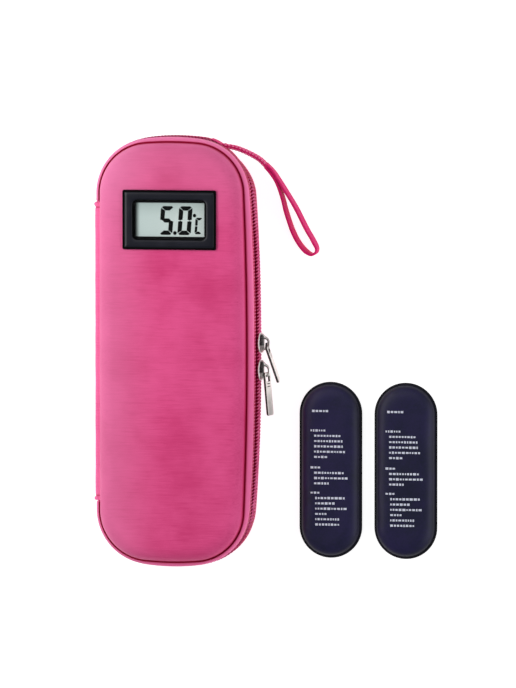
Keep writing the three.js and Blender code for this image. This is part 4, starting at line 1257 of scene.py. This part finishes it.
sliderForm = {
    "face": 42.3,
    "places": {"upper": 4.5, "lower": -8.9},
    "halfLength": 4.9,
    "halfWidth": 4.0,
    "outer": 1.55,
    "reach": 1.07,
    "wall": 0.62,
    "bail": (
        (0.9, 2.6, 0), (1.9, 2.5, 0), (2.85, 2.1, 0), (3.55, 1.3, 0), (3.92, 0.25, 0), (3.98, -1.0, 0),
        (3.86, -2.0, 0), (3.3, -2.72, 0), (2.5, -2.98, 0), (1.7, -3.02, 0), (0.9, -3.02, 0),
    ),
    # low and high corners, and how soft the edges are
    "blocks": {
        "sliderInner": ((-4.15, -2.3, -1.8), (-3.25, 2.3, 1.8), 0.25),
        "sliderWeb": ((-3.4, -2.4, -0.25), (0.7, 2.4, 0.25), 0.08),
        "sliderNose": ((0.9, 2.2, -1.1), (2.05, 3.9, 1.1), 0.4),
    },
}
pullForm = {
    "length": 21.2,
    "width": 5.4,
    "thickness": 1.3,
    "edge": 0.22,
    "barRadius": 0.5,
    "barWide": 0.95,
    "eyeHalf": 1.9,
    "eyeLength": 3.6,
    "corner": 1.1,
    # how dark the painted shade on the pull's rounded edges is
    "edgePaintedShade": 0.93,
    # place, height and painted shade of the black bars that stand for the pull's grooves
    "lines": ((4.8, 0.6, 1.0), (6.2, 0.5, 1.0)),
    "pivot": (2.8, -1.6, 0.0),
    "turns": {"upper": (29.0, 0.0, 13.0), "lower": (0.0, -18.0, 5.0)},
}


def evened(count):
    # shares from -1 to 1 that lie closer towards both ends
    return np.sin(np.linspace(-math.pi / 2, math.pi / 2, count))


def softened(values, power=0.8):
    return np.sign(values) * np.abs(values) ** power


def capPlan(along):
    # at shares along the cap: half its width, its crown, and where its front and back flanges end
    form = sliderForm
    half = np.maximum((1 - np.abs(along) ** 3.2) ** (1 / 2.4), 0.28) * form["halfWidth"]
    crown = form["outer"] - 0.55 * along**4
    deep = np.maximum(0, 1 - along**2) ** 0.75
    return half, crown, crown - 1.0 - form["reach"] * deep, crown - 0.8 - 0.45 * deep


def sliderShell():
    # the crowned cap: at each place along it the section runs from the back flange over the crown
    # to the front flange and returns a wall inside; flanges are deepest at mid length
    along, wall = evened(34), sliderForm["wall"]
    half, crown, front, back = capPlan(along)
    turn = np.linspace(0, math.pi, 15)
    sweep = softened(-np.cos(turn))
    arch = (crown - 0.6)[:, None] + 0.6 * np.sin(turn) ** 0.55

    def line(x, half):
        arc = np.stack([x, half[:, None] * sweep], -1)
        first, last = np.stack([back, -half], 1), np.stack([front, half], 1)
        return np.concatenate([first[:, None], arc, last[:, None]], 1)

    inside = np.maximum(arch - 0.12 - wall * 0.75, 0.32)
    ring = np.concatenate([line(arch, half), line(inside, np.maximum(half - wall, 0.3))[:, ::-1]], 1)
    y = (along * sliderForm["halfLength"])[:, None]
    return np.stack(np.broadcast_arrays(ring[..., 0], y, ring[..., 1]), -1)


def bailGrid():
    # a thick ring over the cap: an oval section carried round it in the plane along the zip
    count = 44
    route = smoothRoute(sliderForm["bail"], count)
    level = np.array([0, 0, 1.0])
    side = np.cross(level, unit(np.gradient(route, axis=0)))[:, None]
    turn, at = around(14)[:, None], np.arange(count)
    foot = 1 + 0.5 * np.exp(-((at / 9.0) ** 2)) + 0.3 * np.exp(-(((count - 1 - at) / 5.0) ** 2))
    foot = foot[:, None, None]
    wide, thick = softened(np.cos(turn)) * 0.6 * foot, softened(np.sin(turn)) * 0.9 * foot**0.5
    return route[:, None] + side * wide + level * thick


def lipGrid():
    # a bead along the cap's front edge, painted near white as a painted highlight: a round section
    # carried along it
    along = evened(30) * 0.985
    half, _, front, _ = capPlan(along)
    line = np.stack([front, along * sliderForm["halfLength"], half], 1)
    ahead = unit(np.gradient(line, axis=0))
    side = unit(np.cross(ahead, [0, 0, 1.0]))
    turn = around(10)[:, None]
    full = (0.42 - 0.16 * along**2)[:, None, None]
    up = np.cross(side, ahead)[:, None]
    return line[:, None] + full * (side[:, None] * np.cos(turn) + up * np.sin(turn))


def blockGrid(low, high, soft):
    # a block with softened edges: rounded outlines stacked along Y
    low, high = np.array(low, float), np.array(high, float)
    middle, size = ((low + high) / 2)[[0, 2]], high - low
    soft = min(soft, size.min() * 0.4)
    turn = np.linspace(0, math.pi / 2, 4)
    bend = soft * 0.9 * (np.stack([np.cos(turn), np.sin(turn)], 1) - 1)
    first, last = [], []
    for step, inset in ((0, soft), (soft * 0.3, soft * 0.3), (soft, 0)):
        corner = size[[0, 2]] / 2 - inset + bend
        ring = np.vstack([corner, corner[::-1] * [-1, 1], -corner, corner[::-1] * [1, -1]]) + middle
        first.append(np.insert(ring, 1, low[1] + step, axis=1))
        last.append(np.insert(ring, 1, high[1] - step, axis=1))
    return np.stack(first + last[::-1])


def sliderPlace(which):
    return np.array([sliderForm["face"], sliderForm["places"][which], caseForm["seam"]])


def sliderPiece(which):
    place, cap = sliderPlace(which), sliderShell()
    shell = tubeGrid("sliderCap", cap + place, "slider", 45.0)
    # painted shade: the crown is painted black between its front lip and the ring, and stays bright at
    # the lower end
    low = np.clip((cap[..., 1] + 1.9) / 0.9, 0, 1) * np.clip((4.6 - cap[..., 1]) / 0.6, 0, 1)
    setMark(shell, "paintedShade", low * np.clip((cap[..., 2] - 0.4) / 0.8, 0, 1))
    parts = [
        shell,
        tubeGrid("sliderLip", lipGrid() + place, "lip", 60.0),
        tubeGrid("sliderBail", bailGrid() + place, "slider", 60.0),
    ]
    for name, block in sliderForm["blocks"].items():
        parts.append(tubeGrid(name, blockGrid(*block) + place, "slider"))
    piece = joinPieces(which + "SliderBody", parts)
    return dress(piece, which + "_slider", "slider_metal", which + "_slider")


def flatPlate(name, loops, thickness, soft, finish):
    # a plate with holes from flat outlines, its edges rounded, made a mesh before it is placed
    data = bpy.data.curves.new(name, "CURVE")
    data.dimensions, data.fill_mode = "2D", "BOTH"
    data.extrude = (thickness / 2 - soft) * mm
    data.bevel_depth, data.bevel_resolution = soft * mm, 2
    data.offset = -soft * mm
    for loop in loops:
        spline = data.splines.new("POLY")
        spline.points.add(len(loop) - 1)
        spline.points.foreach_set("co", np.hstack([loop * mm, np.tile([0, 1], (len(loop), 1))]).ravel())
        spline.use_cyclic_u = True
    curve = addObject(name + "Outline", data)
    bpy.context.view_layer.update()
    mesh = bpy.data.meshes.new_from_object(curve.evaluated_get(bpy.context.evaluated_depsgraph_get()))
    bpy.data.objects.remove(curve)
    mesh.name = name
    mesh.materials.clear()
    mesh.materials.append(finishes[finish].material)
    return addObject(name, mesh)


def roundedLoop(half, foot, top, radii, counts):
    # an upright outline with rounded corners: radius and points of the upper two and the lower two
    corners = []
    for quarter, (across, low) in enumerate(((1, 0), (-1, 0), (-1, 1), (1, 1))):
        radius = radii[low]
        turn = np.linspace(quarter, quarter + 1, counts[low]) * (math.pi / 2)
        middle = [across * (half - radius), foot + radius if low else top - radius]
        corners.append(middle + radius * np.stack([np.cos(turn), np.sin(turn)], 1))
    return np.vstack(corners)


def pullPiece(which):
    form, top = pullForm, pullForm["barRadius"]
    outer = roundedLoop(form["width"] / 2, top - form["length"], top, (0.5, form["corner"]), (5, 8))
    eyeFoot, eyeTop = -top - form["eyeLength"], top - form["barWide"]
    eye = roundedLoop(form["eyeHalf"], eyeFoot, eyeTop, (0.45, 0.45), (5, 5))
    plate = flatPlate(which + "PullTab", [outer, eye], form["thickness"], form["edge"], "pull")
    # painted shade: the pull's rounded edges are painted dark
    places = np.empty(len(plate.data.vertices) * 3)
    plate.data.vertices.foreach_get("co", places)
    rounded = np.abs(places[2::3]) < (form["thickness"] / 2 - 0.16) * mm
    setMark(plate, "paintedShade", rounded * form["edgePaintedShade"])
    # painted shade of the pull's two grooves: black bars across it
    bars = []
    for place, tall, lineShade in form["lines"]:
        box = blockGrid((-1.45, -place - tall, -0.68), (1.45, -place, 0.68), 0.12)
        bar = tubeGrid("pullLine", box, "pull")
        setMark(bar, "paintedShade", np.full(len(bar.data.vertices), lineShade))
        bars.append(bar)
    piece = joinPieces(which + "PullTab", [plate, *bars])
    turns = zip(form["turns"][which], "XYZ")
    droop, twist, swing = (Matrix.Rotation(math.radians(turn), 4, letter) for turn, letter in turns)
    upright = Matrix.Rotation(math.pi / 2, 4, "Y")
    place = Matrix.Translation(Vector(sliderPlace(which) + form["pivot"]) * mm)
    piece.data.transform(place @ swing @ droop @ twist @ upright)
    shadeSmooth(faceOut(piece, 0.004).data, 30)
    return dress(piece, which + "_pull", "pull_metal", which + "_pull")


for which in ("upper", "lower"):
    sliderPiece(which)
    pullPiece(which)
print("stage: sliders and pulls are made")

# Inside: pen loops, net pocket and its binding

loopForm = {
    "place": 36.0,
    "halfBand": 10.0,
    "pitch": 18.4,
    "half": 8.6,
    "height": 10.2,
    "thickness": 0.8,
    "floor": 7.8,
}


def penLoopPiece(name, direction, node):
    # the upper edge of the band runs over three half ellipses; the band is as thick all along
    form = loopForm
    floor, inside, most = form["floor"], form["thickness"] / 2, form["halfBand"]
    turn = np.linspace(math.pi, 0, 30)
    arch = np.stack([
        (form["half"] - inside) * np.cos(turn),
        floor + inside + (form["height"] - form["thickness"]) * np.sin(turn) ** 0.9,
    ], 1)
    runs = [arch + [step * form["pitch"], 0] for step in (-1, 0, 1)]
    edge = form["pitch"] + form["half"]
    line = np.vstack([[(-edge, floor + inside)], *runs, [(edge, floor + inside)]])
    ahead = unit(np.gradient(line, axis=0))
    side = np.stack([-ahead[:, 1], ahead[:, 0]], 1) * 0.36
    ring = np.vstack([line + side, (line - side)[::-1]])
    middles = np.linspace(0.1 - most, most - 0.1, 41)
    y = direction * form["place"] + np.concatenate([[-most], middles, [most]])
    ridge = 0.05 * np.sin(y * 2 * math.pi / 1.3)
    grid = np.stack(np.broadcast_arrays(ring[:, 0], y[:, None], ring[:, 1] + ridge[:, None]), -1)
    band = tubeGrid("loopBand", grid, "elastic", 60.0)
    box = blockGrid((-edge, y[0], floor - 0.78), (edge, y[-1], floor - 0.05), 0.2)
    base = tubeGrid("loopBase", box, "elastic")
    return dress(joinPieces(name, [band, base]), "root", "elastic", node)


penLoopPiece("upperPenLoops", 1, "pen_loops_upper")
penLoopPiece("lowerPenLoops", -1, "pen_loops_lower")

netForm = {
    "level": 20.3,
    "top": 40.0,
    "width": 62,
    "inset": 2.6,
    "cell": 3.1,
    "thread": 0.5,
    # a thread's places from knot to knot and how full it is there
    "knots": ((-0.06, 0.7), (0.1, 1.1), (0.9, 1.1), (1.06, 0.7)),
}


def caseHalfWidths(places, inset):
    # how far left and right the outline reaches at each place along the case, less an inset
    row = wholeRow()
    x, y = (row[:, :2] - row[:, 2:] * inset).T
    reaches = []
    for half in (x <= 0, x > 0):
        order = np.argsort(y[half])
        reaches.append(np.interp(places, y[half][order], x[half][order]))
    return reaches


def netPiece():
    # a lattice of slanting threads between the left and right edges, each a six-sided prism from
    # one knot to the next; they bulge a little at the knots
    form = netForm
    low = -caseForm["halfLength"] + form["inset"] + 0.9
    rows = int((form["top"] - low) / (form["cell"] * 0.5))
    columns = int(form["width"] / form["cell"])
    places = np.linspace(low, form["top"] - 0.4, rows + 1)
    left, right = caseHalfWidths(places, form["inset"] + 0.5)
    odd = np.arange(rows + 1)[:, None] % 2
    shares = (np.arange(columns + 1)[None] + odd * 0.5) / (columns + 0.5)
    x = left[:, None] + (right - left)[:, None] * shares
    knots = np.stack([x, np.broadcast_to(places[:, None], x.shape)], -1)
    inner, outer = knots[:-1], knots[1:]
    # a knot's two threads go straight on and one column to the side, by the row's turn
    even = (np.arange(rows) % 2 == 0)[:, None, None]
    firsts = [inner, np.where(even, inner[:, 1:], inner[:, :-1])]
    lasts = [outer, np.where(even, outer[:, :-1], outer[:, 1:])]
    # threads along the net's own four edges
    for edge in (knots[::2, 0], knots[1::2, -1], knots[0], knots[-1]):
        firsts.append(edge[:-1])
        lasts.append(edge[1:])
    starts, stops = (np.vstack([part.reshape(-1, 2) for part in parts]) for parts in (firsts, lasts))
    ahead = unit(stops - starts)
    turn = around(6)[:, None]
    share, full = np.array(form["knots"]).T[..., None, None]
    full = full * form["thread"] / 2
    line = starts[:, None, None] + (stops - starts)[:, None, None] * share
    flat = line + np.stack([-ahead[:, 1], ahead[:, 0]], 1)[:, None, None] * np.cos(turn) * full
    points = lifted(flat, form["level"] + np.sin(turn) * full)
    piece = faceOut(addMesh("netPocket", points, tubeFaces(points.shape), "net", 70.0))
    return dress(piece, "cover", "net", "mesh_pocket")


def bindingPiece():
    # a folded tape over the net's edge, with a row of stitches' dents along it
    centre = netForm["level"]
    y, z = np.array([
        (32.8, -1.0), (32.9, -1.1), (40.65, -1.1), (40.8, -0.95), (40.8, 0.95), (40.65, 1.1),
        (32.9, 1.1), (32.8, 1.0), (32.8, 0.6), (40.3, 0.6), (40.3, -0.6), (32.8, -0.6),
    ]).T
    x = np.linspace(-29.9, 29.9, 120)[:, None]
    dent = 0.06 * np.cos(x * 2 * math.pi / 3.0)
    grid = np.stack(np.broadcast_arrays(x, y, centre + z * (1 + dent)), -1)
    return dress(tubeGrid("pocketBinding", grid, "elastic", 50.0), "cover", "elastic", "pocket_binding")


netPiece()
bindingPiece()
print("stage: the inside is made")

# Gel packs with a plain printed block of dashes

packForm = {
    "places": {"left": (74.5, -58.6), "right": (111.8, -58.6)},
    "radius": 15.6,
    "straight": 27.7,
    "middle": 4.5,
    "weld": 1.1,
    "weldHalf": 0.22,
    "edge": 9.0,
    "around": 34,
    "lumps": 0.16,
}


def packRise(inset):
    # height above the weld's middle: a quarter of a soft ellipse over the edge's run, then level
    low, form = packForm["weldHalf"], packForm
    share = np.clip((inset - form["weld"]) / (form["edge"] - form["weld"]), 0, 1)
    return low + (form["middle"] - low) * (1 - (1 - share) ** 2.3) ** 0.5


def packLumps(x, y, inset, seed):
    # slow swellings of the gel, fading out to the edge
    wave = np.sin(x / 3.4 + seed) * np.sin(y / 7.5 + 1.3 * seed) + 0.6 * np.sin(y / 4.1 + x / 6.3 + seed)
    return packForm["lumps"] * (wave * np.clip((inset - 2.5) / 5, 0, 1) - 1)


def packPiece(name, seed):
    # rings of a stadium's outline drawn in towards its middle line, above and below the weld
    form, weld = packForm, packForm["weld"]
    middle = np.array(form["places"][name])
    turn = np.linspace(0, math.pi, form["around"])
    # the straight sides get their own points, so that the lumps bend them evenly
    steps = 1 - 2 * np.linspace(0, 1, 26)[1:-1]
    half = np.vstack([np.stack([np.cos(turn), np.sin(turn)], 1), np.tile([-1.0, 0.0], (len(steps), 1))])
    line = np.concatenate([np.ones(len(turn)), steps]) * form["straight"]
    line, outward = np.concatenate([line, -line]), np.vstack([half, -half])[:, None]
    overEdge = weld + np.linspace(0, 1, 17)[1:] ** 1.5 * 8.2
    inset = np.concatenate([[0.0, 0.0, 0.5, weld], overEdge, np.linspace(9.3, form["radius"], 8)[1:]])
    rise = packRise(inset)
    rise[0] = 0.08
    flat = outward * (form["radius"] - inset)[:, None] + (line[:, None] * [0, 1])[:, None]
    lumps = packLumps(flat[..., 0], flat[..., 1], inset, seed)
    upper = np.minimum(form["middle"] + rise + lumps, 9.15)
    lower = np.maximum(form["middle"] - rise, 0.02)
    top, bottom = lifted(flat + middle, upper[..., None]), lifted(flat + middle, lower[:, None])
    grid = np.concatenate([bottom[:, ::-1], top], 1)
    faces = gridQuads(*grid.shape[:2], True).tolist()
    piece = addMesh("gelPack" + name.title(), grid, faces, "film", 60.0)
    toEdge = np.concatenate([inset[::-1], inset])
    setMark(piece, "edge", np.tile(np.clip(1 - toEdge / 3.2, 0, 1), grid.shape[0]))
    faceOut(piece, 0.01)
    return dress(piece, "gel_pack_" + name, "pack_film", "gel_pack_" + name)


printForm = {"mark": (1.35, 1.05), "gap": 0.5, "lift": 0.03}
# each row's place along the pack, its left end and how many dashes it has
printRows = [
    (29.2, -8.6, 5), (19.6, -9.4, 6), (17.0, -7.6, 9), (14.4, -7.6, 10), (11.8, -7.6, 9),
    (9.2, -7.6, 10), (6.6, -7.6, 4), (1.4, -9.4, 3), (-1.2, -7.6, 10), (-3.8, -7.6, 10),
    (-6.4, -7.6, 5), (-11.0, -9.4, 3), (-13.6, -7.0, 9), (-16.2, -7.0, 6), (-18.8, -7.0, 10),
    (-21.4, -7.0, 4), (-24.0, -7.0, 9), (-26.6, -7.0, 8),
]


def packPrint(name, seed):
    # rows of short plain dashes that lie on the pack's face and follow its swellings
    form, middle = printForm, np.array(packForm["places"][name])
    chance = np.random.default_rng(40)
    boxes = []
    for y, start, count in printRows:
        widths = form["mark"][0] * chance.uniform(0.45, 1.15, count)
        starts = start + np.concatenate([[0], np.cumsum(widths + form["gap"])[:-1]])
        tall = form["mark"][1] * chance.uniform(0.75, 1.1, count)
        boxes.append(np.stack([starts, starts + widths, y - tall / 2, y + tall / 2], 1))
    boxes = np.vstack(boxes)
    # the corners of each dash go round it
    corners = boxes[:, [[0, 2], [1, 2], [1, 3], [0, 3]]]
    x, y = corners[..., 0], corners[..., 1]
    inset = packForm["radius"] - np.hypot(x, y - np.clip(y, -packForm["straight"], packForm["straight"]))
    level = packForm["middle"] + packRise(inset) + packLumps(x, y, inset, seed)
    low = lifted(corners + middle, level[..., None])
    points = np.concatenate([low, low + [0, 0, form["lift"]]], 1)
    box = np.array([(3, 2, 1, 0), (4, 5, 6, 7), (0, 1, 5, 4), (1, 2, 6, 5), (2, 3, 7, 6), (3, 0, 4, 7)])
    faces = (box[None] + (np.arange(len(points)) * 8)[:, None, None]).reshape(-1, 4).tolist()
    piece = addMesh("packPrint" + name.title(), points, faces, "print", 10.0)
    return dress(piece, "gel_pack_" + name, "pack_film")


for name, seed in (("left", 0.4), ("right", 2.1)):
    packPiece(name, seed)
    packPrint(name, seed)
print("stage: gel packs are made")

# Floor


def makeFloor():
    finish = Finish("paleFloor", {
        "Base Color": tint(*studio["floor"]),
        "Roughness": 0.85,
        "Specular IOR Level": 0.1,
        "Emission Color": (1.0, 1.0, 1.0, 1.0),
        "Emission Strength": studio["floorGlow"],
    })
    half = 3000.0
    points = [(-half, -half, -0.3), (half, -half, -0.3), (half, half, -0.3), (-half, half, -0.3)]
    finishes["floor"] = finish
    floor = addMesh("studioFloor", points, [(0, 1, 2, 3)], "floor")


makeFloor()

print("stage: the whole case is ready")
